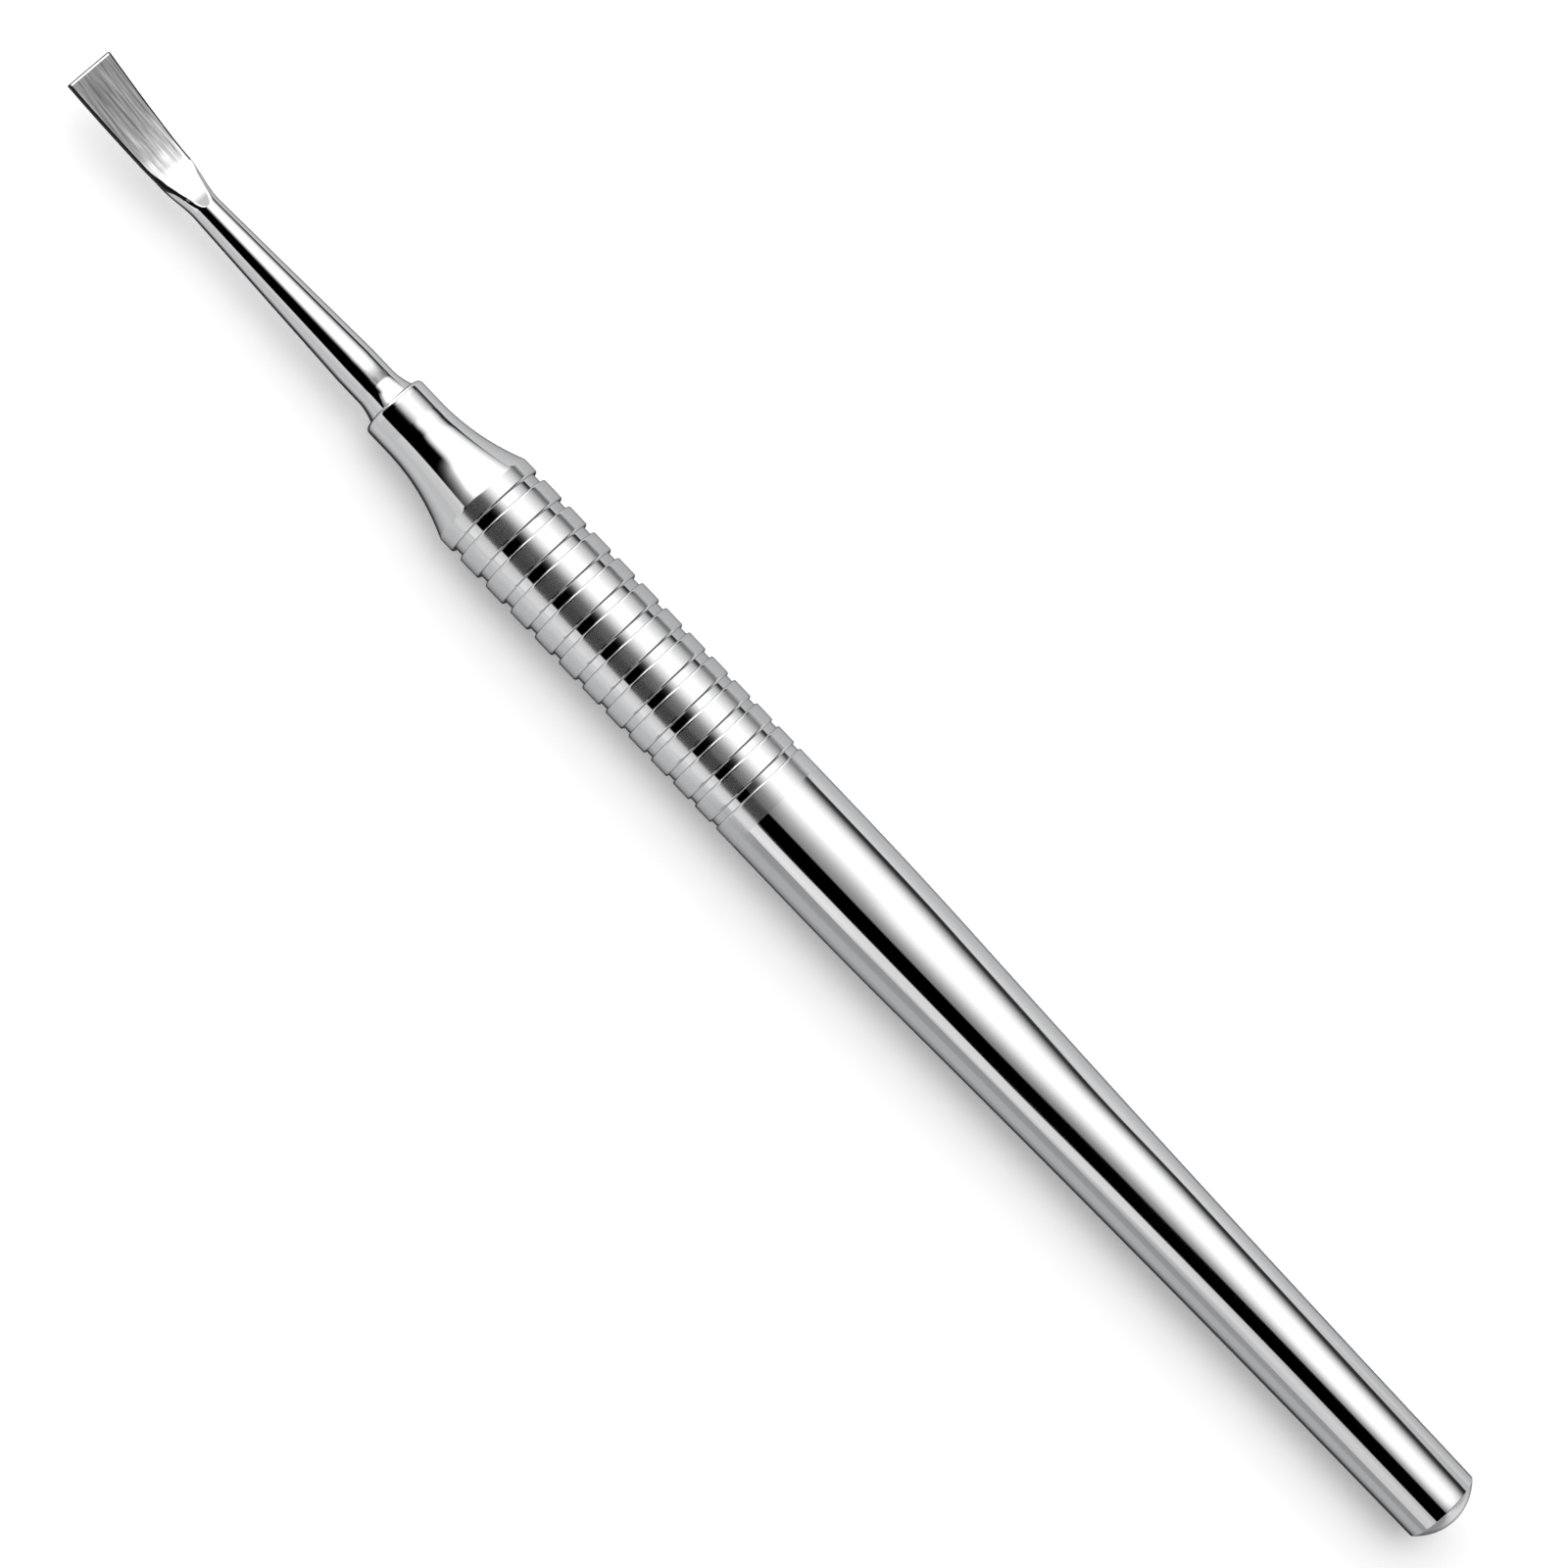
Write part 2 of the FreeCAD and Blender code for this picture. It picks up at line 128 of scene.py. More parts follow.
class WorkingEndSizes(bpy.types.PropertyGroup):
    """Sizes of the flare, the shank and the blade."""
    flare_diameter: size("Flare diameter", 4.98, "Flare where it meets the nose")
    flare_length: size("Flare length", 1.85, "From the neck to the nose")
    flare_hollow: size("Flare hollow", 0.075, "How far the flare's side is hollowed")
    neck_diameter: size("Neck diameter", 4.05, "Plain neck in front of the flare")
    neck_length: size("Neck length", 2.80, "Plain length of the neck")
    neck_curl: size("Neck curl", 0.004, "Undercut of the neck at the foot of the flare")
    shank_length: size("Shank length", 18.35, "Tapered length of the shank")
    shank_end: size("Shank end", 2.72, "Diameter where the ground face runs out")
    face_height: size("Face height", 1.12, "Flat of the face above the shank's axis")
    runout_radius: size("Run-out radius", 3.6, "Where the face runs out through the shank")
    flat_length: size("Flat length", 3.1, "Flat stretch of the face")
    bend_radius: size("Bend radius", 8.2, "Bend behind the blade")
    bend_angle: angle("Bend angle", 14.0, "Turn of the blade at the end of the bend")
    blade_curve: size("Blade curve", 60.0, "Slow curve of the blade")
    tip_angle: angle("Tip angle", 22.5, "Turn of the blade at the cutting end")
    thickness: size("Blade thickness", 0.70, "Thickness of the blade")
    tip_width: size("Tip width", 4.70, "Width of the cutting end")
    heel_width: size("Heel width", 3.54, "Width of the blade at its shoulders")
    shoulder_to_bend: size("Shoulder to bend", 0.75, "From the shoulders to the start of the bend")
    shoulder_slope: angle("Shoulder slope", 25.0, "Slope of the shoulders to the axis")
    shoulder_soft: size("Shoulder softness", 0.028, "How far the shoulders' corners are rounded off")
    tail_length: size("Tail length", 1.3, "Blade behind its shoulders")
    bevel: size("End bevel", 0.14, "Run of the bevel along the cutting end")
    root_length: size("Root length", 7.3, "Rounded root that runs out on the back")
    root_bulge: size("Root bulge", 0.04, "How far the root stands out past the shoulders")
    root_widest: share("Root widest", 0.56, "Where the root is widest")
    root_sink: share("Root sink", 3.2, "How late the root thins", 10.0)
    root_rise: share("Root rise", 1.3, "How late the root's middle rises", 10.0)
    edge_round: size("Edge rounding", 0.18, "Broken edge along the face")
    heel_round: size("Heel rounding", 0.20, "Extra rounding of the lower edge at the shoulder")
    back_round: size("Back rounding", 0.09, "Rounded edge along the back")
    # Where the painted dark reflection on the upper and lower broken edges starts.
    edge_line_start: size("Edge line start", 0.35, "From the shoulders to the start of the upper dark edge")
    lower_line_start: size("Lower line start", 2.0, "Start of the lower dark edge, behind the shoulders")


class Finishes(bpy.types.PropertyGroup):
    """Colours and roughness of the steel."""
    steel: colour("Steel", (0.640, 0.640, 0.648), "Polished stainless steel")
    satin: colour("Satin steel", (0.640, 0.640, 0.646), "Lands of the grip")
    ground: colour("Ground steel", (0.430, 0.430, 0.436), "Ground face of the blade")
    # Near-black colour of the blade's broken edges, a painted dark reflection.
    edge: colour("Edge steel", (0.028, 0.028, 0.029), "Broken edges of the blade")
    polish_roughness: share("Polish roughness", 0.045, "Roughness of the polished steel")
    satin_roughness: share("Satin roughness", 0.17, "Roughness of the lands")
    ground_roughness: share("Ground roughness", 0.24, "Roughness of the ground face")
    edge_roughness: share("Edge roughness", 0.3, "Roughness of the broken edges")
    satin_metal: share("Satin metal", 0.91, "How fully the lands mirror, the rest being a grey haze")
    broad_scratches: share("Broad scratches", 0.2, "Share of the broad scratches over the fine ones")
    # Painted shade on the polish where the face leaves the shank: from its start station it darkens over the
    # fade to the given level.
    runout_start: size("Run-out start", -52.75, "Station where the face starts to leave the shank")
    runout_shade_fade: size("Run-out fade", 0.65, "Length over which the face darkens as it leaves the shank")
    runout_shade_level: share("Run-out tone", 0.48, "How light the face is where it leaves the shank")
    ground_end: size("Ground end", -55.3, "Station where the scratches run out")
    ragged_length: size("Ragged length", 3.4, "How far the ends of the scratches are spread")
    scratch_fade: size("Scratch fade", 1.9, "Length over which a scratch fades into the polish")
    scratch_depth: size("Scratch depth", 0.002, "Depth of the scratches")


class StudioSettings(bpy.types.PropertyGroup):
    """Camera and studio."""
    camera_roll: angle("Camera roll", 14.5, "Turn of the camera about the instrument")
    axis_angle: angle("Axis angle", 46.418, "Fall of the instrument's axis across the picture")
    camera_distance: size("Camera distance", 378.0, "From the instrument's axis to the lens")
    picture_width: size("Picture width", 134.45, "Width of the picture at the axis")
    picture_centre_x: size("Picture centre X", 18.4, "Station on the axis under the picture's middle")
    picture_centre_side: size("Picture centre side", 1.87, "Picture's middle beside the axis")
    floor_grey: share("Floor", 0.92, "Grey of the floor")
    fill: share("Floor fill", 0.22, "Glow of the floor that only the camera sees")
    lamp_strength: share("Lamp", 0.55, "Strength of the broad lamp over the floor", 5.0)
    lamp_spread: angle("Lamp spread", 34.0, "How broad the lamp looks from the floor")
    lamp_lean: angle("Lamp lean", 4.0, "How far the lamp leans to the camera's side")


# Profile of the handle, as runs of points (station, radius) with one finish each
def steps(first, last, count):
    """Evenly spaced values from first to last."""
    return [first + (last - first) * i / (count - 1) for i in range(count)]


def bezier(start, knee, end, count):
    """Points on the smooth curve that leaves start and reaches end in line with the knee."""
    points = []
    for t in steps(0.0, 1.0, count):
        a, b, c = (1 - t) ** 2, 2 * t * (1 - t), t * t
        points.append((a * start[0] + b * knee[0] + c * end[0], a * start[1] + b * knee[1] + c * end[1]))
    return points


def rounding(centre, radius, from_turn, to_turn, count):
    """Points on an arc about a centre, with turns in radians from the +X side."""
    return [(centre[0] + radius * math.cos(t), centre[1] + radius * math.sin(t))
            for t in steps(from_turn, to_turn, count)]


def groove_table(handle):
    """Centre, width and depth of every groove."""
    last = handle.groove_count - 1
    widths = steps(handle.first_groove_width, handle.last_groove_width, handle.groove_count)
    depths = steps(handle.first_groove_depth, handle.last_groove_depth, handle.groove_count)
    centre = NOSE_X + handle.nose_length + handle.throat_length + handle.shoulder_width + widths[0] / 2
    table = []
    for i in range(handle.groove_count):
        table.append((centre, widths[i], depths[i]))
        if i < last:
            centre += handle.first_pitch + (handle.last_pitch - handle.first_pitch) * i / (last - 1)
    return table


def nose_profile(handle):
    """Nose face, its rounded edge, the plain nose and the hollow throat."""
    radius = handle.nose_diameter / 2
    edge = handle.nose_edge_radius
    throat_x = NOSE_X + handle.nose_length
    shoulder_x = throat_x + handle.throat_length
    points = [(NOSE_X, 0.0), (NOSE_X, radius - edge)]
    points += rounding((NOSE_X + edge, radius - edge), edge, math.pi, math.pi / 2, 9)[1:]
    points += [(x, radius) for x in steps(NOSE_X + edge, throat_x, 8)[1:]]
    points += bezier((throat_x, radius), (throat_x + handle.throat_length / 2, radius),
                     (shoulder_x, GRIP_RADIUS), 40)[1:]
    return points


def land_profile(start, end, edge):
    """One land of the grip as its two rounded edges, each with a short flat that keeps the land true."""
    flat = edge * LAND_FLAT
    left = rounding((start + edge, GRIP_RADIUS - edge), edge, math.pi, math.pi / 2, 7)
    right = rounding((end - edge, GRIP_RADIUS - edge), edge, math.pi / 2, 0.0, 7)
    return left + [(start + edge + flat, GRIP_RADIUS)], [(end - edge - flat, GRIP_RADIUS)] + right


def grip_runs(handle):
    """Lands and grooves from the shoulder to the start of the polished barrel."""
    shoulder_x = NOSE_X + handle.nose_length + handle.throat_length
    runs, start = [], shoulder_x
    table = groove_table(handle)
    for index, (centre, width, depth) in enumerate(table):
        left, right = centre - width / 2, centre + width / 2
        edge = handle.land_edge_break
        first_edge, last_edge = land_profile(start, left, edge)
        if index == 0:
            first_edge = [(start, GRIP_RADIUS), (start + edge * LAND_FLAT, GRIP_RADIUS)]
        runs.append(("satin" if index == 0 else "polish", first_edge))
        runs.append(("satin", [first_edge[-1], last_edge[0]]))
        floor = GRIP_RADIUS - depth
        runs.append(("polish", last_edge + [(left, floor), (right, floor), (right, GRIP_RADIUS - edge)]))
        start = right
    tail = start + handle.satin_tail
    runs.append(("satin", land_profile(start, tail, handle.land_edge_break)[0] + [(tail, GRIP_RADIUS)]))
    return runs, tail


def taper_point(handle, plain_end, rim, x):
    """Radius and slope of the barrel's hollow taper: a parabola through its three sizes."""
    start_x = plain_end + handle.barrel_blend / 2
    half = (rim - start_x) / 2
    along = (x - start_x) / half - 1
    first, waist, last = GRIP_RADIUS, handle.barrel_waist / 2, handle.butt_diameter / 2
    lean = (last - first) / 2
    cup = (last + first) / 2 - waist
    return waist + lean * along + cup * along ** 2, (lean + 2 * cup * along) / half


def barrel_profile(handle, start):
    """Plain barrel, soft bend, hollow taper, rim and dome."""
    table = groove_table(handle)
    plain_end = table[-1][0] + table[-1][1] / 2 + handle.barrel_straight
    rim_x = APEX_X - handle.butt_dome
    butt = handle.butt_diameter / 2
    dome_radius = (butt ** 2 + handle.butt_dome ** 2) / (2 * handle.butt_dome)
    dome_x = APEX_X - dome_radius
    rim_z = butt - handle.butt_rim_radius
    corner_x = dome_x + math.sqrt((dome_radius - handle.butt_rim_radius) ** 2 - rim_z ** 2)
    dome_turn = math.atan2(rim_z, corner_x - dome_x)
    join_x = plain_end + handle.barrel_blend
    join_z, slope = taper_point(handle, plain_end, rim_x, join_x)
    knee = (join_x + (GRIP_RADIUS - join_z) / slope, GRIP_RADIUS)
    hollow = ((join_x + corner_x) / 2, join_z + slope * (corner_x - join_x) / 2)
    points = [(x, GRIP_RADIUS) for x in steps(start, plain_end, 12)]
    points += bezier((plain_end, GRIP_RADIUS), knee, (join_x, join_z), 36)[1:]
    points += bezier((join_x, join_z), hollow, (corner_x, butt), 90)[1:]
    points += rounding((corner_x, rim_z), handle.butt_rim_radius, math.pi / 2, dome_turn, 9)[1:]
    points += rounding((dome_x, 0.0), dome_radius, dome_turn, 0.0, 28)[1:]
    return points


# Working end: stations from the nose to the cutting end, and the sections on them
def ease(value):
    """Smooth rise from 0 to 1 with level ends."""
    value = min(max(value, 0.0), 1.0)
    return value * value * (3 - 2 * value)


class BladePath:
    """Side view of the face and the plan of the blade, worked out from the working end's sizes."""

    def __init__(self, sizes):
        self.sizes = sizes
        self.flare_x = NOSE_X - sizes.flare_length
        self.neck_x = self.flare_x - sizes.neck_length
        self.shank_x = self.neck_x - sizes.shank_length
        self.end_radius = sizes.shank_end / 2
        self.shank_slope = (sizes.neck_diameter / 2 - self.end_radius) / sizes.shank_length
        rise = self.end_radius - sizes.face_height
        self.flat_x = self.shank_x - math.sqrt(2 * sizes.runout_radius * rise - rise ** 2)
        self.bend_x = self.flat_x - sizes.flat_length
        self.shoulder_x = self.bend_x + sizes.shoulder_to_bend
        self.bend_z = sizes.face_height + sizes.bend_radius
        shift = sizes.blade_curve - sizes.bend_radius
        self.curve_x = self.bend_x + shift * math.sin(sizes.bend_angle)
        self.curve_z = self.bend_z + shift * math.cos(sizes.bend_angle)
        foot = sizes.blade_curve + sizes.thickness
        self.foot_x = self.curve_x - foot * math.sin(sizes.tip_angle)

    def runout(self, x):
        """Height of the face between the flat and the point where it leaves the shank."""
        radius = self.sizes.runout_radius
        return self.sizes.face_height + radius - math.sqrt(radius ** 2 - (x - self.flat_x) ** 2)

    def shank_radius(self, x):
        """Radius of the round, tapered shank."""
        return self.end_radius + self.shank_slope * (x - self.shank_x)

    def plan(self, x):
        """Half width of the blade with its rounded shoulders, or nothing behind its tail."""
        if x > self.shoulder_x + self.sizes.tail_length:
            return 0.0
        heel = self.sizes.heel_width / 2
        flare = (self.sizes.tip_width / 2 - heel) / (self.shoulder_x - self.foot_x)
        side = heel + flare * (self.shoulder_x - x)
        tail = heel + math.tan(self.sizes.shoulder_slope) * (self.shoulder_x - x)
        return (side + tail) / 2 - math.hypot((side - tail) / 2, self.sizes.shoulder_soft)

    def root(self, x):
        """Half width, half height and height of the middle of the rounded root."""
        sizes = self.sizes
        along = min((self.shank_x - x) / sizes.root_length, 1.0)
        round_radius = self.end_radius - self.shank_slope * along * sizes.root_length * (1 - along) ** 2
        widest = sizes.heel_width / 2 + sizes.root_bulge
        if along <= sizes.root_widest:
            half_width = round_radius + (widest - round_radius) * ease(along / sizes.root_widest)
        else:
            past = (along - sizes.root_widest) / (1 - sizes.root_widest)
            half_width = widest - sizes.root_bulge * 2 * ease(past)
        end_lift = self.face_point(self.root_end_turn())[1] - sizes.thickness / 2
        half_height = round_radius + (sizes.thickness / 4 - round_radius) * along ** sizes.root_sink
        return along, half_width, half_height, end_lift * along ** sizes.root_rise

    def heel_share(self, x):
        """Share of the lower edge's extra rounding: once at the shoulder, once more where the root begins."""
        behind = (x - self.shoulder_x) / MM
        at_shoulder, at_root = (min(ease((behind - none) / (full - none)) for none, full in ends)
                                for ends in ((SHOULDER_RISE, SHOULDER_FALL), (ROOT_RISE, ROOT_FALL)))
        return max(at_shoulder, ROOT_SHARE * at_root)

    def root_end_turn(self):
        """Turn of the face where the root ends."""
        return math.asin((self.curve_x - (self.shank_x - self.sizes.root_length)) / self.sizes.blade_curve)

    def face_point(self, turn):
        """Point of the face at a turn of the blade: on the bend, then on the slow curve."""
        sizes = self.sizes
        x, z, radius = self.curve_x, self.curve_z, sizes.blade_curve
        if turn <= sizes.bend_angle:
            x, z, radius = self.bend_x, self.bend_z, sizes.bend_radius
        return x - radius * math.sin(turn), z - radius * math.cos(turn)


def half_section(top, corner, widest, side, rise, bottom, flat, edge):
    """Right half of a section: face edge, side down to its widest point, and round to the back's middle."""
    level = min((top - side) / rise, 1.0)
    start = math.asin(level)
    reach = (widest - corner) / (1 - math.cos(start))

    def on_side(turn):
        return widest - reach + reach * math.cos(turn), side + rise * math.sin(turn)

    speed = math.hypot(reach * math.sin(start), rise * math.cos(start))
    below = max(start - edge / speed, start / 2)
    points = bezier((corner - edge, top), (corner, top), on_side(below), EDGE_FACES + 1)
    points += [on_side(turn) for turn in steps(below, 0.0, 17)[1:]]
    for turn in steps(0.0, math.pi / 2, 17)[1:]:
        points.append((flat + (widest - flat) * math.cos(turn), side - (side - bottom) * math.sin(turn)))
    points += [(flat * (1 - t), bottom) for t in steps(0.0, 1.0, 7)[1:]]
    return points


def blade_section(path, x, face_z, turn, drop=0.0):
    """Upper and lower half section of root and blade in heights from the face, square to the blade's run."""
    sizes = path.sizes
    along, half_width, half_height, lift = path.root(x)
    square = math.cos(turn)
    level = min((face_z - lift) / half_height, 1.0)
    oval_corner = half_width * math.sqrt(1 - level ** 2) if level > -1 else 0.0
    plan = path.plan(x)
    corner = max(oval_corner if along < 1 else 0.0, plan)
    widest = max(half_width if along < 1 else 0.0, plan, corner + LEAST_SIDE)
    flatness = ease((along - FLAT_BACK_FROM) / (1 - FLAT_BACK_FROM))
    side = (lift - face_z) * square
    side += (sizes.back_round - sizes.thickness - side) * flatness
    bottom = -sizes.thickness
    if along < 1:
        bottom = min((lift - half_height - face_z) * square, -sizes.thickness * flatness)
    flat = (widest - sizes.back_round) * flatness
    rise = half_height + (SIDE_BOW - half_height) * flatness
    return tuple(half_section(-drop, corner, widest, side, rise, bottom, flat, min(edge, EDGE_CAP * corner))
                 for edge in (sizes.edge_round, sizes.edge_round + sizes.heel_round * path.heel_share(x)))


def turned_section(radius):
    """Both half sections of the round shank."""
    half = half_section(radius, 0.0, radius, 0.0, radius, -radius, 0.0, 0.0)
    return half, half


def working_end_rings(sizes):
    """Rings of the working end as (half sections, base point, turn), from the nose to the cutting end."""
    path = BladePath(sizes)
    flare = (NOSE_X, sizes.flare_diameter / 2)
    neck = sizes.neck_diameter / 2
    foot = (path.flare_x, neck)
    hollow = ((flare[0] + foot[0]) / 2, (flare[1] + foot[1]) / 2 - 2 * sizes.flare_hollow)
    profile = bezier(flare, hollow, foot, 16)
    curl_x = path.flare_x - CURL_LENGTH
    profile += [(x, neck - sizes.neck_curl * ease((x - curl_x) / (path.flare_x - curl_x)))
                for x in steps(path.flare_x, curl_x, 14)[1:]]
    profile += [(x, neck) for x in steps(curl_x, path.neck_x, 6)[1:]]
    profile += [(x, path.shank_radius(x)) for x in steps(path.neck_x, path.shank_x, 30)[1:]]
    rings = [(turned_section(radius), (x, 0.0), 0.0) for x, radius in profile]
    flat_from = len(rings)
    for t in steps(0.0, 1.0, 22)[1:]:
        x = path.shank_x + (path.flat_x - path.shank_x) * t ** RUNOUT_CROWDING
        face_z = path.runout(x)
        rings.append((blade_section(path, x, face_z, 0.0), (x, face_z), 0.0))
    for x in steps(path.flat_x, path.bend_x, 26)[1:]:
        rings.append((blade_section(path, x, sizes.face_height, 0.0), (x, sizes.face_height), 0.0))
    crest = sizes.tip_angle - sizes.bevel / sizes.blade_curve
    for turn in steps(0.0, sizes.bend_angle, 24)[1:] + steps(sizes.bend_angle, crest, 26)[1:]:
        x, z = path.face_point(turn)
        rings.append((blade_section(path, x, z, turn), (x, z), turn))
    bevel_from = len(rings)
    for t in (0.5, 1.0):
        turn = crest + (sizes.tip_angle - crest) * t
        x, z = path.face_point(turn)
        rings.append((blade_section(path, x, z, turn, sizes.bevel * t), (x, z), turn))
    return rings, flat_from, bevel_from


def working_end_mesh(name, sizes):
    """One skin over all the rings: sides and back, the ground face, and both ends."""
    rings, flat_from, bevel_from = working_end_rings(sizes)
    shoulder_x = BladePath(sizes).shoulder_x
    line_starts = shoulder_x - sizes.edge_line_start, shoulder_x + sizes.lower_line_start
    upper_from, lower_from = (next(i for i, ring in enumerate(rings) if ring[1][0] < start_x)
                              for start_x in line_starts)
    bm = bmesh.new()
    loops = []
    for (upper, lower), (x, z), turn in rings:
        outline = upper + [(-y, h) for y, h in reversed(lower[:-1])]
        inner = [(y, upper[0][1]) for y in steps(-lower[0][0], upper[0][0], FACE_COLUMNS + 1)[1:-1]]
        loop = [bm.verts.new((x + h * math.sin(turn), y, z + h * math.cos(turn))) for y, h in outline + inner]
        loops.append((loop, len(outline)))
    for index, ((loop, skin), (after, _)) in enumerate(zip(loops, loops[1:])):
        count = len(loop)
        for i in range(count):
            j = (i + 1) % count
            face = bm.faces.new((loop[i], loop[j], after[j], after[i]))
            face.smooth = True
            ground = i >= skin - 1 and flat_from - 1 <= index < bevel_from - 1
            from_lower = skin - 1 - i
            # Faces of the broken edges that carry the painted dark reflection.
            broken = (i < EDGE_FACES and index >= upper_from or
                      0 < from_lower <= EDGE_FACES and index >= lower_from)
            face.material_index = 1 if ground else 2 if broken else 0
    for loop in (loops[0][0], loops[-1][0]):
        bm.faces.new(loop)
    bmesh.ops.remove_doubles(bm, verts=bm.verts, dist=WELD)
    return finished_mesh(name, bm)


# Mesh and object helpers
def finished_mesh(name, bm):
    """Mesh with its faces turned outwards and its hard edges marked."""
    mesh = bpy.data.meshes.new(name)
    bmesh.ops.recalc_face_normals(bm, faces=bm.faces)
    bm.to_mesh(mesh)
    bm.free()
    mesh.set_sharp_from_angle(angle=SHARP_EDGE)
    return mesh


def lathe(name, runs, slots):
    """Turned mesh from runs of (finish, points), with the finish as the material of its faces."""
    bm = bmesh.new()
    rings, finishes = [], []
    for finish, points in runs:
        for index, (x, radius) in enumerate(points):
            if index == 0 and rings:
                continue
            if radius < WELD:
                rings.append([bm.verts.new((x, 0.0, 0.0))])
            else:
                turns = [2 * math.pi * i / AROUND for i in range(AROUND)]
                rings.append([bm.verts.new((x, radius * math.sin(t), radius * math.cos(t))) for t in turns])
            finishes.append(finish)
    for ring, after, finish in zip(rings, rings[1:], finishes[1:]):
        for i in range(AROUND):
            j = (i + 1) % AROUND
            corners = [ring[i % len(ring)], ring[j % len(ring)], after[j % len(after)], after[i % len(after)]]
            face = bm.faces.new(list(dict.fromkeys(corners)))
            face.material_index = slots.index(finish)
            face.smooth = True
    return finished_mesh(name, bm)


def show(data, name):
    """Puts a finished mesh, a lamp or the camera into the scene."""
    item = bpy.data.objects.new(name, data)
    bpy.context.scene.collection.objects.link(item)
    return item


# Materials
WHITE = (1.0, 1.0, 1.0, 1.0)
MIX_SOCKETS = {"FLOAT": (2, 3, 0), "VECTOR": (4, 5, 1), "RGBA": (6, 7, 2)}   # two inputs, and the output


class NodeTree:
    """Short calls for the nodes that the finishes and the studio share."""

    def __init__(self, owner):
        owner.use_nodes = True
        self.nodes = owner.node_tree.nodes
        self.links = owner.node_tree.links

    def fill(self, node, inputs):
        """Fills a node's inputs, each with a value or with the output of another node."""
        for socket, value in inputs.items():
            if isinstance(value, bpy.types.NodeSocket):
                self.links.new(value, node.inputs[socket])
            else:
                node.inputs[socket].default_value = value
        return node

    def add(self, kind, inputs, **settings):
        """New node with its settings and inputs."""
        node = self.nodes.new(kind)
        for name, value in settings.items():
            setattr(node, name, value)
        return self.fill(node, inputs)

    def place(self, space="Object"):
        """X, Y and Z of the point that is shaded or, in the world's Generated space, of the direction."""
        where = self.add("ShaderNodeTexCoord", {})
        return self.add("ShaderNodeSeparateXYZ", {"Vector": where.outputs[space]}).outputs

    def noise(self, scale, stretch, detail):
        """Noise in the object's own coordinates, stretched along its axes."""
        where = self.add("ShaderNodeTexCoord", {})
        mapping = self.add("ShaderNodeMapping", {"Vector": where.outputs["Object"], "Scale": stretch})
        noise = {"Vector": mapping.outputs["Vector"], "Scale": scale, "Detail": detail}
        return self.add("ShaderNodeTexNoise", noise).outputs["Fac"]

    def ranged(self, value, span, result=(0.0, 1.0), kind="LINEAR"):
        """A value mapped from one range to another."""
        limits = dict(zip(("From Min", "From Max", "To Min", "To Max"), (*span, *result)))
        node = self.add("ShaderNodeMapRange", {"Value": value, **limits}, interpolation_type=kind)
        return node.outputs["Result"]

    def maths(self, operation, *values):
        """Sum, product or another result of plain values."""
        return self.add("ShaderNodeMath", dict(enumerate(values)), operation=operation).outputs["Value"]

    def scaled(self, tint, factor):
        """A colour times a value."""
        node = self.add("ShaderNodeVectorMath", {0: tint, "Scale": factor}, operation="SCALE")
        return node.outputs["Vector"]

    def mixed(self, factor, first, second, kind="FLOAT"):
        """Mix of two values, vectors or colours."""
        low, high, result = MIX_SOCKETS[kind]
        node = self.add("ShaderNodeMix", {0: factor, low: first, high: second}, data_type=kind)
        return node.outputs[result]

    def ramp(self, place, stops):
        """Colour ramp through stops of (position, colour), with a plain number for a grey."""
        node = self.add("ShaderNodeValToRGB", {"Fac": place})
        elements = node.color_ramp.elements
        elements.remove(elements[-1])
        for index, (position, tint) in enumerate(stops):
            element = elements[0] if index == 0 else elements.new(position)
            element.position = position
            element.color = (*(tint if isinstance(tint, tuple) else (tint, tint, tint)), 1.0)
        return node.outputs["Color"]


def new_material(name, **inputs):
    """Node material, its tree and its principled shader, with inputs named with _ for a space."""
    material = bpy.data.materials.new(name)
    tree = NodeTree(material)
    shader = tree.nodes["Principled BSDF"]
    tree.fill(shader, {socket.replace("_", " "): value for socket, value in inputs.items()})
    return material, tree, shader


def polished_steel(finish):
    """Mirror polish with a faint polishing haze."""
    material, tree, shader = new_material("polished_steel", Base_Color=(*finish.steel, 1.0), Metallic=1.0)
    haze = tree.noise(scale=260.0, stretch=(0.35, 1.0, 1.0), detail=4.0)
    rough = finish.polish_roughness
    tree.fill(shader, {"Roughness": tree.ranged(haze, (0.35, 0.75), (rough * 0.85, rough * 1.25))})
    return material


def satin_steel(finish):
    """Lands of the grip: fine turning lines with a grey haze over a soft reflection."""
    material, tree, shader = new_material("satin_steel", Base_Color=(*finish.satin, 1.0),
                                          Metallic=finish.satin_metal, Specular_IOR_Level=0.0)
    lines = tree.noise(scale=2600.0, stretch=(1.0, 0.03, 0.03), detail=2.0)
    rough = finish.satin_roughness
    tree.fill(shader, {"Roughness": tree.ranged(lines, (0.3, 0.7), (rough * 0.97, rough * 1.03))})
    return material


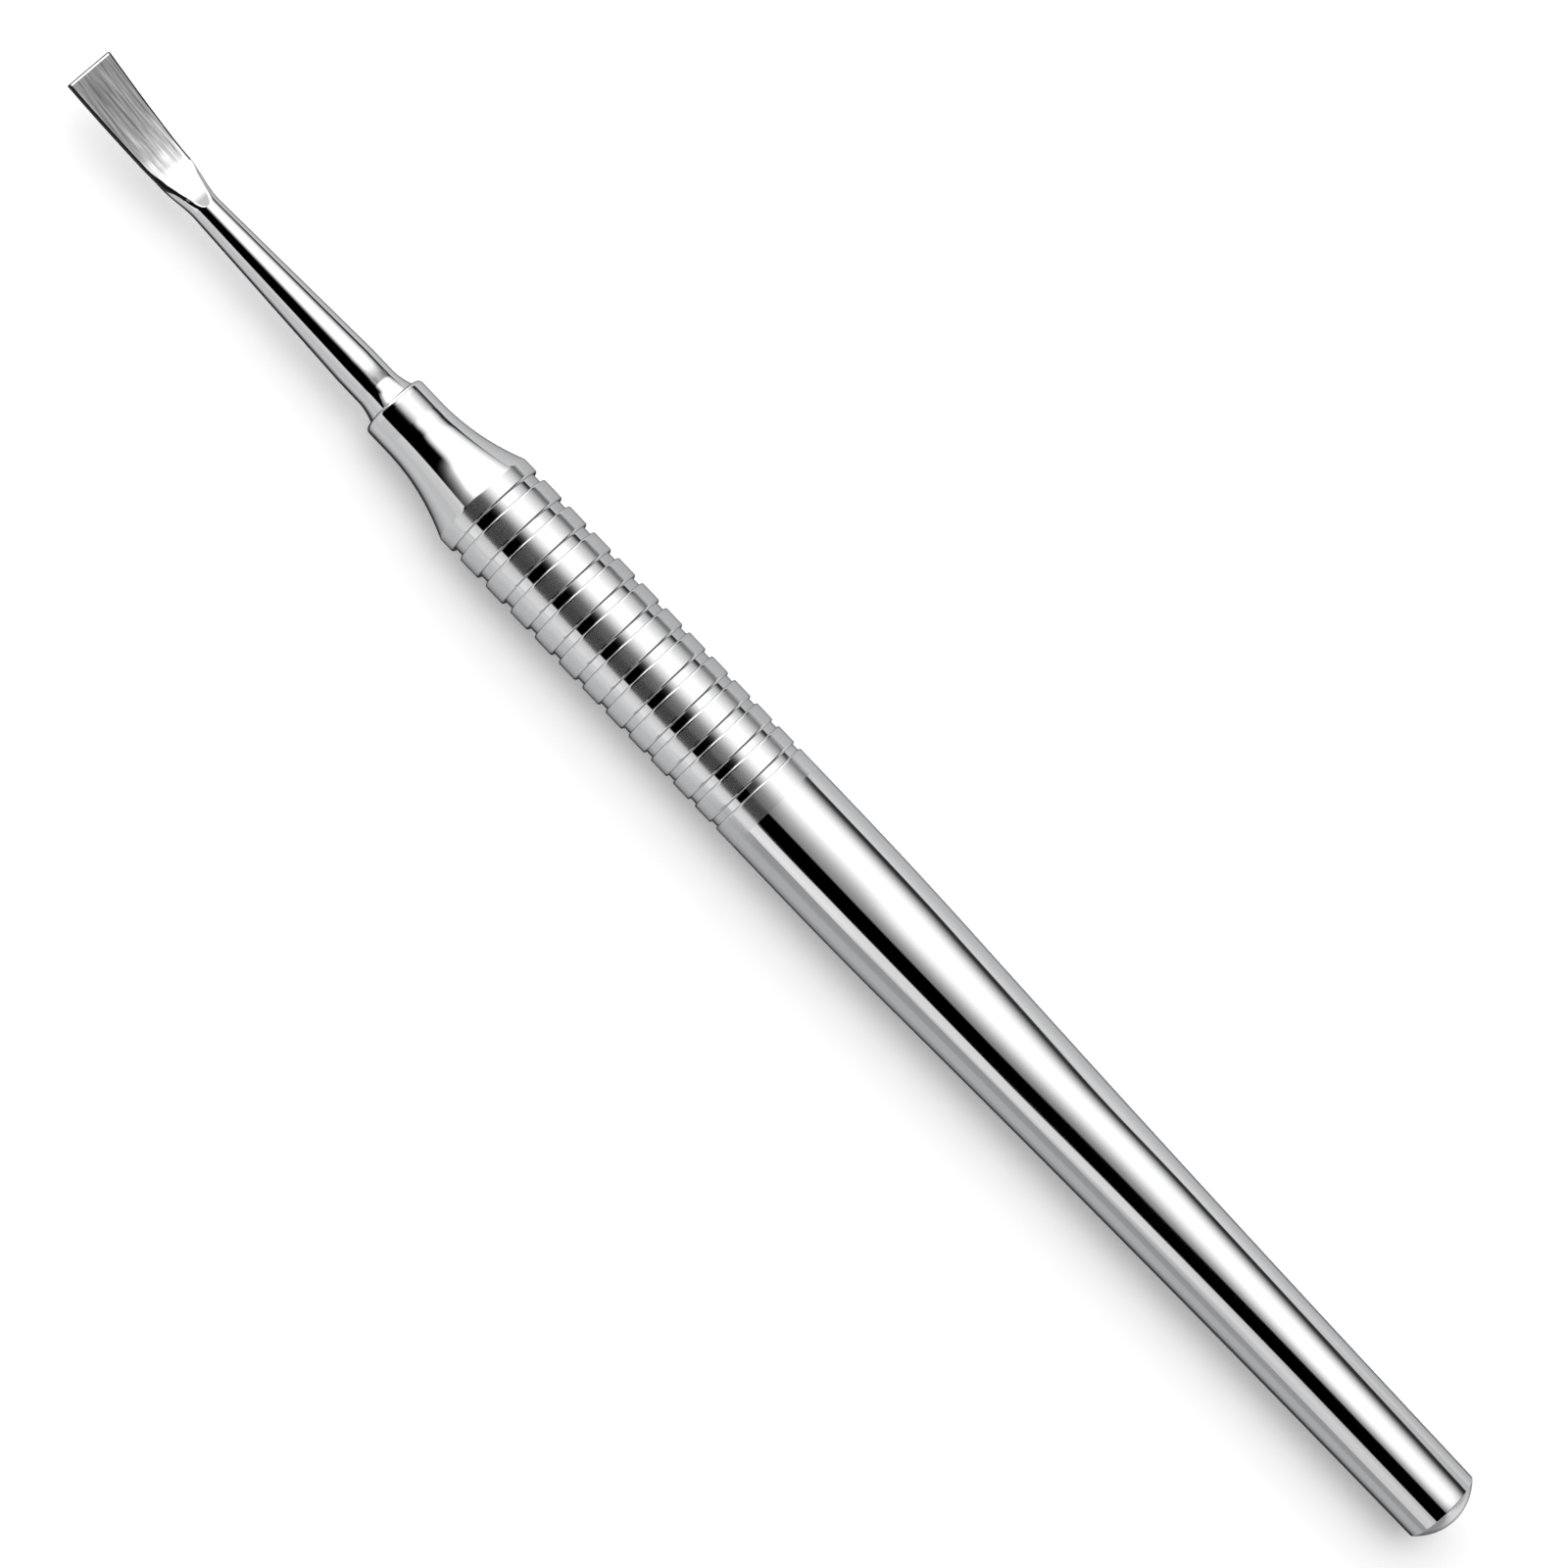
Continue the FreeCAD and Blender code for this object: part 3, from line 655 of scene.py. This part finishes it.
def ground_steel(finish):
    """Ground face of the blade: lengthwise scratches that end raggedly in the polish of the heel, with
    painted shade darkening the polish where the face leaves the shank.
    """
    material, tree, shader = new_material("ground_steel", Metallic=1.0)
    x = tree.place()["X"]
    ragged = tree.noise(scale=1500.0, stretch=(0.12, 1.0, 0.0), detail=3.0)
    scratch_end = tree.maths("MULTIPLY_ADD", ragged, -finish.ragged_length, x)
    last = finish.ground_end - finish.ragged_length / 2
    mask = tree.ranged(scratch_end, (last - finish.scratch_fade, last), (1.0, 0.0))
    fine = tree.noise(scale=4300.0, stretch=(0.06, 1.0, 0.0), detail=3.0)
    broad = tree.noise(scale=1000.0, stretch=(0.25, 1.0, 0.0), detail=2.0)
    both = tree.maths("MULTIPLY_ADD", broad, finish.broad_scratches, fine)
    scratches = tree.ranged(both, (0.42, 0.78), (0.52, 1.50))
    # Painted shade: the heel's polish darkens towards the shank, where the face runs out.
    runout_shade_end = finish.runout_start + finish.runout_shade_fade
    runout = tree.ranged(x, (finish.runout_start, runout_shade_end), (1.0, finish.runout_shade_level))
    polished, ground = tree.scaled(finish.steel, runout), tree.scaled(finish.ground, scratches)
    tone = tree.mixed(mask, polished, ground, "VECTOR")
    roughness = tree.ranged(mask, (0.0, 1.0), (finish.polish_roughness, finish.ground_roughness))
    bump = tree.add("ShaderNodeBump", {"Distance": finish.scratch_depth, "Strength": mask, "Height": both})
    tree.fill(shader, {"Base Color": tone, "Roughness": roughness, "Normal": bump.outputs["Normal"]})
    return material


def painted_dark_edge_steel(finish):
    """Painted dark reflection: near-black steel on the broken edges of the blade, standing in for the dark
    they reflect.
    """
    material, tree, shader = new_material("painted_dark_edge_steel", Metallic=1.0, Roughness=finish.edge_roughness)
    grain = tree.noise(scale=3000.0, stretch=(0.05, 1.0, 1.0), detail=2.0)
    tree.fill(shader, {"Base Color": tree.scaled(finish.edge, tree.ranged(grain, (0.3, 0.7), (0.85, 1.15)))})
    return material


# Light round the instrument, seen across its axis: (degrees from the camera's side, level).
# Negative degrees are the side of the floor's shadow. Each zone is met by one stretch of the instrument
# and ends at an angle along it, blended over the degrees on both sides.
BARREL_TOP = [(50, 1.0), (56, 0.92), (61, 0.8), (65.5, 0.73), (70.5, 0.60), (75, 0.45), (80, 0.29),
              (84.5, 0.15), (88, 0.05), (90.5, 0.02), (97, 0.02)]
LIGHT_ZONES = [
    {"ends_at": -7.17, "blend": 0.1,
     "side": [(-110, 0.76), (-87, 0.77), (-73, 0.84), (-60, 0.88), (-48, 0.97), (-45.5, 0.0)],
     "low": [(1.5, 0.0), (5, 0.1), (9.6, 0.5), (14, 0.95), (19, 1.4), (25, 1.7), (30, 1.85)],
     "high": [(58, 1.0), (66, 0.84), (72, 0.72), (78, 0.58), (84, 0.40), (88, 0.2), (92, 0.02), (102, 0.02),
              (104, 0.4)]},
    {"ends_at": -6.1, "blend": 0.3,
     "side": [(-110, 0.80), (-87, 0.78), (-57, 0.80), (-48, 0.84), (-46, 0.0)],
     "low": [(-5, 0.0), (1, 0.06), (7, 0.45), (18, 1.05), (29, 1.5), (41, 1.85)],
     "high": [(48, 1.0), (57, 0.82), (71, 0.6), (83, 0.40), (92, 0.15), (96, 0.03), (103, 0.03),
              (105, 0.35)]},
    {"ends_at": -0.02, "blend": 0.17,
     "side": [(-110, 0.9), (-97, 0.95), (-85, 1.0), (-75, 1.14), (-65, 1.12), (-56, 0.95), (-49, 0.85),
              (-47, 0.0)],
     "low": [(-8, 0.0), (-1, 0.02), (3, 0.07), (7, 0.17), (11, 0.36), (16, 0.66), (21, 1.0), (29, 1.52),
             (36, 1.85)],
     "high": [(52, 1.0), (62, 0.8), (70, 0.66), (79, 0.5), (85, 0.41), (90, 0.27), (94, 0.13), (97.5, 0.03),
              (105, 0.02)]},
    {"ends_at": 3.6, "blend": 1.2,
     "side": [(-110, 0.5), (-94, 0.5), (-86, 0.47), (-75, 1.0), (-66, 1.22), (-57, 1.12), (-51, 1.05),
              (-49, 0.0)],
     "low": [(-20.6, 0.0), (-19.2, 0.2), (-17.8, 0.33), (-15.5, 0.37), (-11.5, 0.42), (-7.8, 0.49),
             (-4, 0.57), (0, 0.66), (4, 0.78), (8, 0.93), (12, 1.08), (16, 1.24), (23, 1.55), (36, 1.85)],
     "high": BARREL_TOP},
    {"ends_at": 10.6, "blend": 1.6,
     "side": [(-110, 0.45), (-91, 0.43), (-77, 0.68), (-68, 1.08), (-55, 1.03), (-51, 1.0), (-49, 0.0)],
     "low": [(-20.6, 0.0), (-19.2, 0.2), (-17.8, 0.30), (-15.8, 0.35), (-11.4, 0.43), (-6.8, 0.58),
             (-2.4, 0.74), (2.2, 0.93), (6.6, 1.15), (11, 1.35), (17, 1.55), (26, 1.85)],
     "high": BARREL_TOP},
    {"ends_at": None, "blend": None,
     "side": [(-110, 0.45), (-97, 0.45), (-84, 0.9), (-72, 0.93), (-65, 0.97), (-55, 0.8), (-51, 0.75),
              (-49, 0.0)],
     "low": [(-20.6, 0.0), (-19.2, 0.25), (-17.8, 0.42), (-16, 0.53), (-13.5, 0.66), (-11, 0.81), (-8.4, 1.0),
             (-6, 1.19), (-3.4, 1.36), (-0.8, 1.48), (7, 1.85)],
     "high": [(50, 1.0), (56, 0.92), (61, 0.8), (65, 0.73), (69.5, 0.60), (74, 0.45), (78.5, 0.29),
              (82.5, 0.15), (86.5, 0.05), (89, 0.02), (97, 0.02)]},
]
UPPER_LIGHT = [(97, 0.0), (98.5, 0.93)]          # thin light over the dark line, for the barrel alone

# How far the edges of the light wander along the instrument: (lengthwise degrees, degrees across)
LOW_SLIDE = [(-60, -8), (-24, -7.3), (-19, -7.1), (-16.5, -5.5), (-15.2, -3), (-14.6, -0.7),
             (-11.7, -0.7), (-10.8, -2.2), (-8.2, -1.6), (-7.7, -0.5), (-7.2, -0.5), (-7.0, 0),
             (-0.2, 0), (0.15, 1.3), (7.2, 1.7), (7.7, 2.8), (8.1, 5.1), (8.5, 7.0), (8.85, 8.7),
             (9.6, 11.4), (10.3, 14.0), (11.05, 15.5), (11.8, 16.6), (14, 16.6)]
SIDE_SLIDE = [(-0.2, 0), (0.3, -1.8), (1.8, -0.6), (4.4, 0.2), (7.5, 0.4), (8.1, 2.8), (8.5, 4.8),
              (8.85, 6.4), (9.2, 7.3), (9.6, 8.2), (9.95, 9.5), (10.7, 11.2), (11.4, 11.9), (14, 11.9)]
HIGH_SLIDE = [(-50, 24), (-37, 20), (-28.7, 15.5), (-24, 12.5), (-19.6, 9.5), (-16.5, 6), (-15, 0.5),
              (-11.7, -0.5), (-10.5, 1.2), (-8.2, 1.2), (-7.8, 0), (4.4, -0.2), (5.7, -2.2), (6.6, -4.6),
              (7.0, -6.6), (7.4, -9.2), (7.8, -10.2), (8.2, -7), (8.7, -3.6), (9.2, -4), (10.3, -5.4),
              (11.4, -8), (12.1, -9.6), (12.5, -10.7), (12.85, -12.9), (13.4, -14)]
THROAT_SLIDE = ((-32.5, 0.0), (-45.5, 14.5))
SLIDE_FROM, SLIDE_TO, SLIDE_LIMIT = -60.0, 20.0, 30.0
RAMP_REACH = 110.0        # degrees from the camera's side that a ramp covers
PEAK_LEVEL = 2.0          # light level that a ramp writes as 1
THROAT_LIGHT = [(-48, 0.0), (-44, 0.01), (-36, 0.05), (-26, 0.16), (-15.4, 0.37), (-5, 0.78), (0, 1.2),
                (5, 1.6), (10, 1.85)]
END_CARD = [(-47.5, 0.0), (-45.5, 0.5), (-8, 0.5), (3, 0.0)]

# Shares and strengths that change along the instrument, from one (lengthwise degrees, value) to another:
# of the thin upper light, of the throat's light, of the box over the blade's side and at the cutting end,
# of all light past the butt, and of the end card at either end
UPPER_FROM, UPPER_TO = ((-0.2, 0.0), (0.15, 1.0)), ((9.0, 1.0), (12.6, 0.74))
THROAT_FROM = ((-37.0, 1.0), (-27.8, 0.0))
WINDOW_EDGE, TIP_LIFT = ((10.5, 1.0), (23.0, 0.27)), ((26.0, 1.0), (33.0, 1.7))
END_WINDOW = ((35.0, 1.0), (44.0, 0.05))
BUTT_CARD, TIP_CARD = ((33.0, 0.0), (45.0, 1.1)), ((-64.0, 1.2), (-54.0, 0.0))

# What polished steel sees of the floor, as painted shadow: darker on the shadow's side and dark under the
# instrument,
# as a contact shadow: (mm beside the instrument, level). The first set holds from the
# blade on, and each later one is faded in over it between two stations (mm).
FAR_BELOW = [(-60, 0.45), (-28, 0.46), (-18, 0.61), (-10.5, 0.60)]
FAR_ABOVE = [(14, 0.66), (35, 0.80), (90, 0.90)]
FLOOR_BESIDE_NOSE = [(-60, 0.78), (-28, 0.79), (-16, 0.83), (-10.5, 0.74), (-7.2, 0.42), (-5.6, 0.05),
                     (5.0, 0.05), (8.5, 0.50), (14, 0.70), (35, 0.80), (90, 0.85)]
FLOOR_BESIDE_GRIP = [(-80, 0.98), (-40, 0.90), (-28, 0.80), (-19, 0.74), (-13, 0.69), (-10.5, 0.64),
                     (-7.2, 0.40), (-5.6, 0.05), (6.5, 0.05), (9.5, 0.38), (14, 0.58), (35, 0.66), (90, 0.72)]
FLOOR_BESIDE_BARREL = FAR_BELOW + [(-7.2, 0.38), (-5.6, 0.05), (6.5, 0.05), (9.5, 0.38)] + FAR_ABOVE
FLOOR_UNDER_BUTT = FAR_BELOW + [(-6, 0.30), (-3.5, 0.20), (-1.5, 0.22), (0, 0.31), (1.7, 0.44), (4, 0.46),
                                (6, 0.38), (9.5, 0.38)] + FAR_ABOVE
FLOOR_BEYOND_BUTT = FAR_BELOW + [(-7.5, 0.46), (-5, 0.36), (-2.2, 0.46), (-0.5, 0.74), (1.5, 0.98), (4, 0.98),
                                 (7, 0.84), (9.5, 0.66)] + FAR_ABOVE
FLOOR_SETS = [((-28.0, -16.0), FLOOR_BESIDE_GRIP), ((12.0, 21.0), FLOOR_BESIDE_BARREL),
              ((103.2, 103.9), FLOOR_UNDER_BUTT), ((107.5, 111.5), FLOOR_BEYOND_BUTT)]
FLOOR_REACH = 100.0 * MM                         # distance beside the instrument that the sets cover
FLOOR_HALF = 3.0                                 # half the side of the floor, in metres
FLOOR_TINT = 0.993, 0.998, 1.018                 # faint cool tone of what the steel sees
LENS_RANGE = 0.01, 20.0                          # what the camera sees, in metres from the lens


def sine(degrees):
    """Sine of an angle in degrees."""
    return math.sin(math.radians(degrees))


def studio_world(studio):
    """Long soft boxes and a black flag beside the instrument; the camera itself sees plain white."""
    world = bpy.data.worlds.new("studio")
    bpy.context.scene.world = world
    tree = NodeTree(world)
    tree.nodes.clear()
    direction = tree.place("Generated")
    lengthwise = direction["X"]

    def product(first, second):
        return tree.maths("MULTIPLY", first, second)

    def between(start, end, kind="SMOOTHSTEP"):
        """Step between two lengthwise angles, each given as (degrees, result)."""
        (first, low), (last, high) = sorted((start, end))
        return tree.ranged(lengthwise, (sine(first), sine(last)), (low, high), kind)

    def light(place, stops):
        """Level of the light along a ramp of degrees."""
        return tree.ramp(place, [((degrees + RAMP_REACH) / (2 * RAMP_REACH), level / PEAK_LEVEL)
                                 for degrees, level in stops])

    def slid(stops):
        """The place on a ramp, moved by a shift that follows the lengthwise direction."""
        first, last = sine(SLIDE_FROM), sine(SLIDE_TO)
        shifts = [((sine(degrees) - first) / (last - first), (shift + SLIDE_LIMIT) / (2 * SLIDE_LIMIT))
                  for degrees, shift in stops]
        moved = product(tree.ramp(tree.ranged(lengthwise, (first, last)), shifts), SLIDE_LIMIT / RAMP_REACH)
        return tree.maths("SUBTRACT", tree.maths("ADD", place, SLIDE_LIMIT / (2 * RAMP_REACH)), moved)

    turn = tree.maths("ARCTAN2", direction["Y"], direction["Z"])
    reach = math.radians(RAMP_REACH)
    place = tree.ranged(turn, (-reach - studio.camera_roll, reach - studio.camera_roll))
    low_place, side_place, high_place = (slid(stops) for stops in (LOW_SLIDE, SIDE_SLIDE, HIGH_SLIDE))
    sunk = between(*((degrees, shift / (2 * RAMP_REACH)) for degrees, shift in THROAT_SLIDE), "LINEAR")
    throat = light(tree.maths("ADD", place, sunk), THROAT_LIGHT)
    in_throat = between(*THROAT_FROM)
    side = box = None
    for zone, before in zip(LIGHT_ZONES, [None] + LIGHT_ZONES):
        zone_side = light(side_place, zone["side"])
        low = tree.mixed(in_throat, light(low_place, zone["low"]), throat)
        zone_box = product(low, light(high_place, zone["high"]))
        if before is None:
            side, box = zone_side, zone_box
            continue
        edge, blend = before["ends_at"], before["blend"]
        entered = between((edge - blend, 0.0), (edge + blend, 1.0))
        side, box = tree.mixed(entered, side, zone_side), tree.mixed(entered, box, zone_box)
    upper = product(light(high_place, UPPER_LIGHT), product(between(*UPPER_FROM), between(*UPPER_TO)))
    side = tree.maths("ADD", side, upper)
    box = product(product(box, PEAK_LEVEL), product(between(*WINDOW_EDGE), between(*TIP_LIFT)))
    level = product(tree.maths("ADD", box, side), between(*END_WINDOW))
    cards = tree.maths("ADD", between(*BUTT_CARD), between(*TIP_CARD))
    level = tree.maths("ADD", level, product(cards, light(place, END_CARD)))
    lit = tree.add("ShaderNodeBackground", {"Color": WHITE, "Strength": product(level, PEAK_LEVEL)})
    seen = tree.add("ShaderNodeBackground", {"Color": WHITE})
    path = tree.add("ShaderNodeLightPath", {})
    mix = tree.add("ShaderNodeMixShader", {"Fac": path.outputs["Is Camera Ray"], 1: lit.outputs["Background"],
                                           2: seen.outputs["Background"]})
    tree.add("ShaderNodeOutputWorld", {"Surface": mix.outputs["Shader"]})


# Small dark card over the neck that only reflections see: (station in mm, how much light it lets through)
NECK_CARD = [(-33.3, 1.0), (-33.0, 0.82), (-32.65, 0.63), (-32.3, 0.49), (-31.95, 0.41), (-31.6, 0.38),
             (-31.25, 0.39), (-31.05, 0.50), (-30.95, 0.80), (-30.88, 1.0)]
NECK_CARD_RADIUS = 12.0 * MM
NECK_CARD_ARC = (-2.0, 68.0)                     # degrees round the axis, from straight up

# Black card beside the neck that the flare alone reflects: (station in mm, degrees of its upper edge)
FLARE_CARD = [(-31.3, -16.0), (-31.45, -17.0), (-31.6, -21.0), (-31.84, -28.0), (-32.0, -32.0),
              (-32.15, -36.0), (-32.4, -42.0), (-32.8, -48.0), (-33.2, -51.5)]
FLARE_CARD_RADIUS = 6.0 * MM
FLARE_CARD_FOOT = -52.0                          # degrees of its lower edge
FLARE_CARD_COLUMNS, NECK_CARD_COLUMNS = 9, 31    # points round the axis


def on_arc(x, radius, degrees):
    """Point at a station, a radius and a turn round the axis from straight up."""
    return x, radius * math.sin(math.radians(degrees)), radius * math.cos(math.radians(degrees))


def studio_card(name, points, columns, material):
    """Card over rows of points that only reflections see."""
    faces = [(i, i + 1, i + 1 + columns, i + columns)
             for i in range(len(points) - columns) if (i + 1) % columns]
    mesh = bpy.data.meshes.new(name)
    mesh.from_pydata(points, [], faces)
    mesh.materials.append(material)
    card = show(mesh, name)
    card.visible_camera = card.visible_diffuse = card.visible_shadow = card.visible_transmission = False
    return card


def flare_card():
    """Black card that keeps the flare's dark wedge crisp."""
    points = [on_arc(station * MM, FLARE_CARD_RADIUS, degrees) for station, top in FLARE_CARD
              for degrees in steps(FLARE_CARD_FOOT, top, FLARE_CARD_COLUMNS)]
    material, _, _ = new_material("flare_card", Base_Color=(0.0, 0.0, 0.0, 1.0), Specular_IOR_Level=0.0,
                                  Roughness=1.0)
    return studio_card("flare_card", points, FLARE_CARD_COLUMNS, material)


def neck_card():
    """Arc over the neck that shades it in front of the flare."""
    first, last = NECK_CARD[0][0] * MM, NECK_CARD[-1][0] * MM
    points = [on_arc(x, NECK_CARD_RADIUS, degrees) for degrees in steps(*NECK_CARD_ARC, NECK_CARD_COLUMNS)
              for x in (first, last)]
    material = bpy.data.materials.new("neck_card")
    tree = NodeTree(material)
    tree.nodes.clear()
    shade = tree.ramp(tree.ranged(tree.place()["X"], (first, last)),
                      [((station * MM - first) / (last - first), level) for station, level in NECK_CARD])
    clear = tree.add("ShaderNodeBsdfTransparent", {"Color": shade})
    tree.add("ShaderNodeOutputMaterial", {"Surface": clear.outputs["BSDF"]})
    return studio_card("neck_card", points, 2, material)


def floor_material(studio):
    """Pale floor that keeps the shadow for the camera, and that the steel sees in soft strips of painted
    shadow, dark under the instrument.
    """
    grey = studio.floor_grey
    material, tree, shader = new_material("floor", Base_Color=(grey, grey, grey, 1.0), Roughness=1.0,
                                          Specular_IOR_Level=0.0, Emission_Color=WHITE)
    path = tree.add("ShaderNodeLightPath", {}).outputs
    glow = tree.ranged(path["Is Camera Ray"], (0.0, 1.0), (0.0, studio.fill))
    tree.fill(shader, {"Emission Strength": glow})
    place = tree.place()
    beside = tree.ranged(place["Y"], (-FLOOR_REACH, FLOOR_REACH))

    def strips_of(stops):
        return tree.ramp(beside, [(0.5 + distance * MM / (2 * FLOOR_REACH),
                                   tuple(min(level * tint, 1.0) for tint in FLOOR_TINT))
                                  for distance, level in stops])

    strips = strips_of(FLOOR_BESIDE_NOSE)
    for (fade_from, fade_to), stops in FLOOR_SETS:
        entered = tree.ranged(place["X"], (fade_from * MM, fade_to * MM))
        strips = tree.mixed(entered, strips, strips_of(stops), "RGBA")
    # Glossy rays see only the painted shadow strips, not the lit floor.
    seen = tree.add("ShaderNodeEmission", {"Color": strips})
    mix = tree.add("ShaderNodeMixShader", {"Fac": path["Is Glossy Ray"], 1: shader.outputs["BSDF"],
                                           2: seen.outputs["Emission"]})
    tree.fill(tree.nodes["Material Output"], {"Surface": mix.outputs["Shader"]})
    return material


class SCALER_OT_handle(bpy.types.Operator):
    """Turns the handle with its rings, barrel and domed butt"""
    bl_idname = "scaler.handle"
    bl_label = "Turn the handle"

    def execute(self, context):
        handle = context.scene.scaler_handle
        grip, tail = grip_runs(handle)
        runs = [("polish", nose_profile(handle))] + grip + [("polish", barrel_profile(handle, tail))]
        mesh = lathe("turned_handle", runs, ["polish", "satin"])
        for steel in (polished_steel, satin_steel):
            mesh.materials.append(steel(context.scene.scaler_finishes))
        piece = show(mesh, "turned_handle")
        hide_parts("handle")
        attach(piece, "root")
        return {"FINISHED"}


class SCALER_OT_working_end(bpy.types.Operator):
    """Builds the blade, its root, the shank and the flare as one skin"""
    bl_idname = "scaler.working_end"
    bl_label = "Build the working end"

    def execute(self, context):
        mesh = working_end_mesh("blade_and_shank", context.scene.scaler_working_end)
        mesh.materials.append(bpy.data.materials["polished_steel"])
        # The third slot holds the painted dark reflection of the broken edges.
        for steel in (ground_steel, painted_dark_edge_steel):
            mesh.materials.append(steel(context.scene.scaler_finishes))
        piece = show(mesh, "blade_and_shank")
        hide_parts("working_end")
        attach(piece, "root")
        return {"FINISHED"}


def studio_camera(studio):
    """Camera over the instrument, rolled round its axis, with the axis falling across the picture."""
    roll, fall = studio.camera_roll, studio.axis_angle
    along = Vector((1.0, 0.0, 0.0))
    across = Vector((0.0, math.cos(roll), math.sin(roll)))
    back = Vector((0.0, -math.sin(roll), math.cos(roll)))
    right = along * math.cos(fall) + across * math.sin(fall)
    up = across * math.cos(fall) - along * math.sin(fall)
    lens = bpy.data.cameras.new("camera")
    lens.lens = lens.sensor_width * studio.camera_distance / studio.picture_width
    lens.clip_start, lens.clip_end = LENS_RANGE
    camera = show(lens, "camera")
    target = along * studio.picture_centre_x + across * studio.picture_centre_side
    place = target + back * studio.camera_distance
    camera.matrix_world = Matrix.Translation(place) @ Matrix((right, up, back)).transposed().to_4x4()
    return camera


class SCALER_OT_stage(bpy.types.Operator):
    """Sets the floor, the studio light and the camera"""
    bl_idname = "scaler.stage"
    bl_label = "Set the stage"

    def execute(self, context):
        studio = context.scene.scaler_studio
        mesh = bpy.data.meshes.new("floor")
        corners = [(x * FLOOR_HALF, y * FLOOR_HALF, HANDLE_LOW.z)
                   for x, y in ((-1, -1), (1, -1), (1, 1), (-1, 1))]
        mesh.from_pydata(corners, [], [(0, 1, 2, 3)])
        mesh.materials.append(floor_material(studio))
        floor = show(mesh, "floor")
        neck_card()
        flare_card()
        studio_world(studio)
        light = bpy.data.lights.new("broad_lamp", "SUN")
        light.energy = studio.lamp_strength
        light.angle = studio.lamp_spread
        lamp = show(light, "broad_lamp")
        lamp.rotation_euler = (-studio.lamp_lean, 0.0, 0.0)
        lamp.visible_glossy = False
        context.scene.camera = studio_camera(studio)
        context.scene.view_settings.view_transform = "Standard"
        return {"FINISHED"}


class SCALER_PT_panel(bpy.types.Panel):
    """Lists the sizes and the steps of the scaler"""
    bl_idname = "SCALER_PT_panel"
    bl_label = "Chisel scaler"
    bl_space_type = "VIEW_3D"
    bl_region_type = "UI"
    bl_category = "Scaler"

    def draw(self, context):
        layout = self.layout
        for name, (_, title) in GROUPS.items():
            group = getattr(context.scene, name)
            box = layout.box()
            box.label(text=title)
            for entry in group.__annotations__:
                box.prop(group, entry)
        for operator in OPERATORS:
            layout.operator(operator.bl_idname)


GROUPS = {"scaler_handle": (HandleSizes, "Handle"), "scaler_working_end": (WorkingEndSizes, "Working end"),
          "scaler_finishes": (Finishes, "Finish"), "scaler_studio": (StudioSettings, "Studio")}
OPERATORS = (SCALER_OT_handle, SCALER_OT_working_end, SCALER_OT_stage)
CLASSES = (*(group for group, _ in GROUPS.values()), *OPERATORS, SCALER_PT_panel)


def register():
    for item in CLASSES:
        bpy.utils.register_class(item)
    for name, (group, _) in GROUPS.items():
        setattr(bpy.types.Scene, name, bpy.props.PointerProperty(type=group))


def unregister():
    for name in GROUPS:
        delattr(bpy.types.Scene, name)
    for item in reversed(CLASSES):
        bpy.utils.unregister_class(item)


def main():
    register()
    bpy.ops.scaler.handle()
    bpy.ops.scaler.working_end()
    bpy.ops.scaler.stage()


if __name__ == "__main__":
    main()
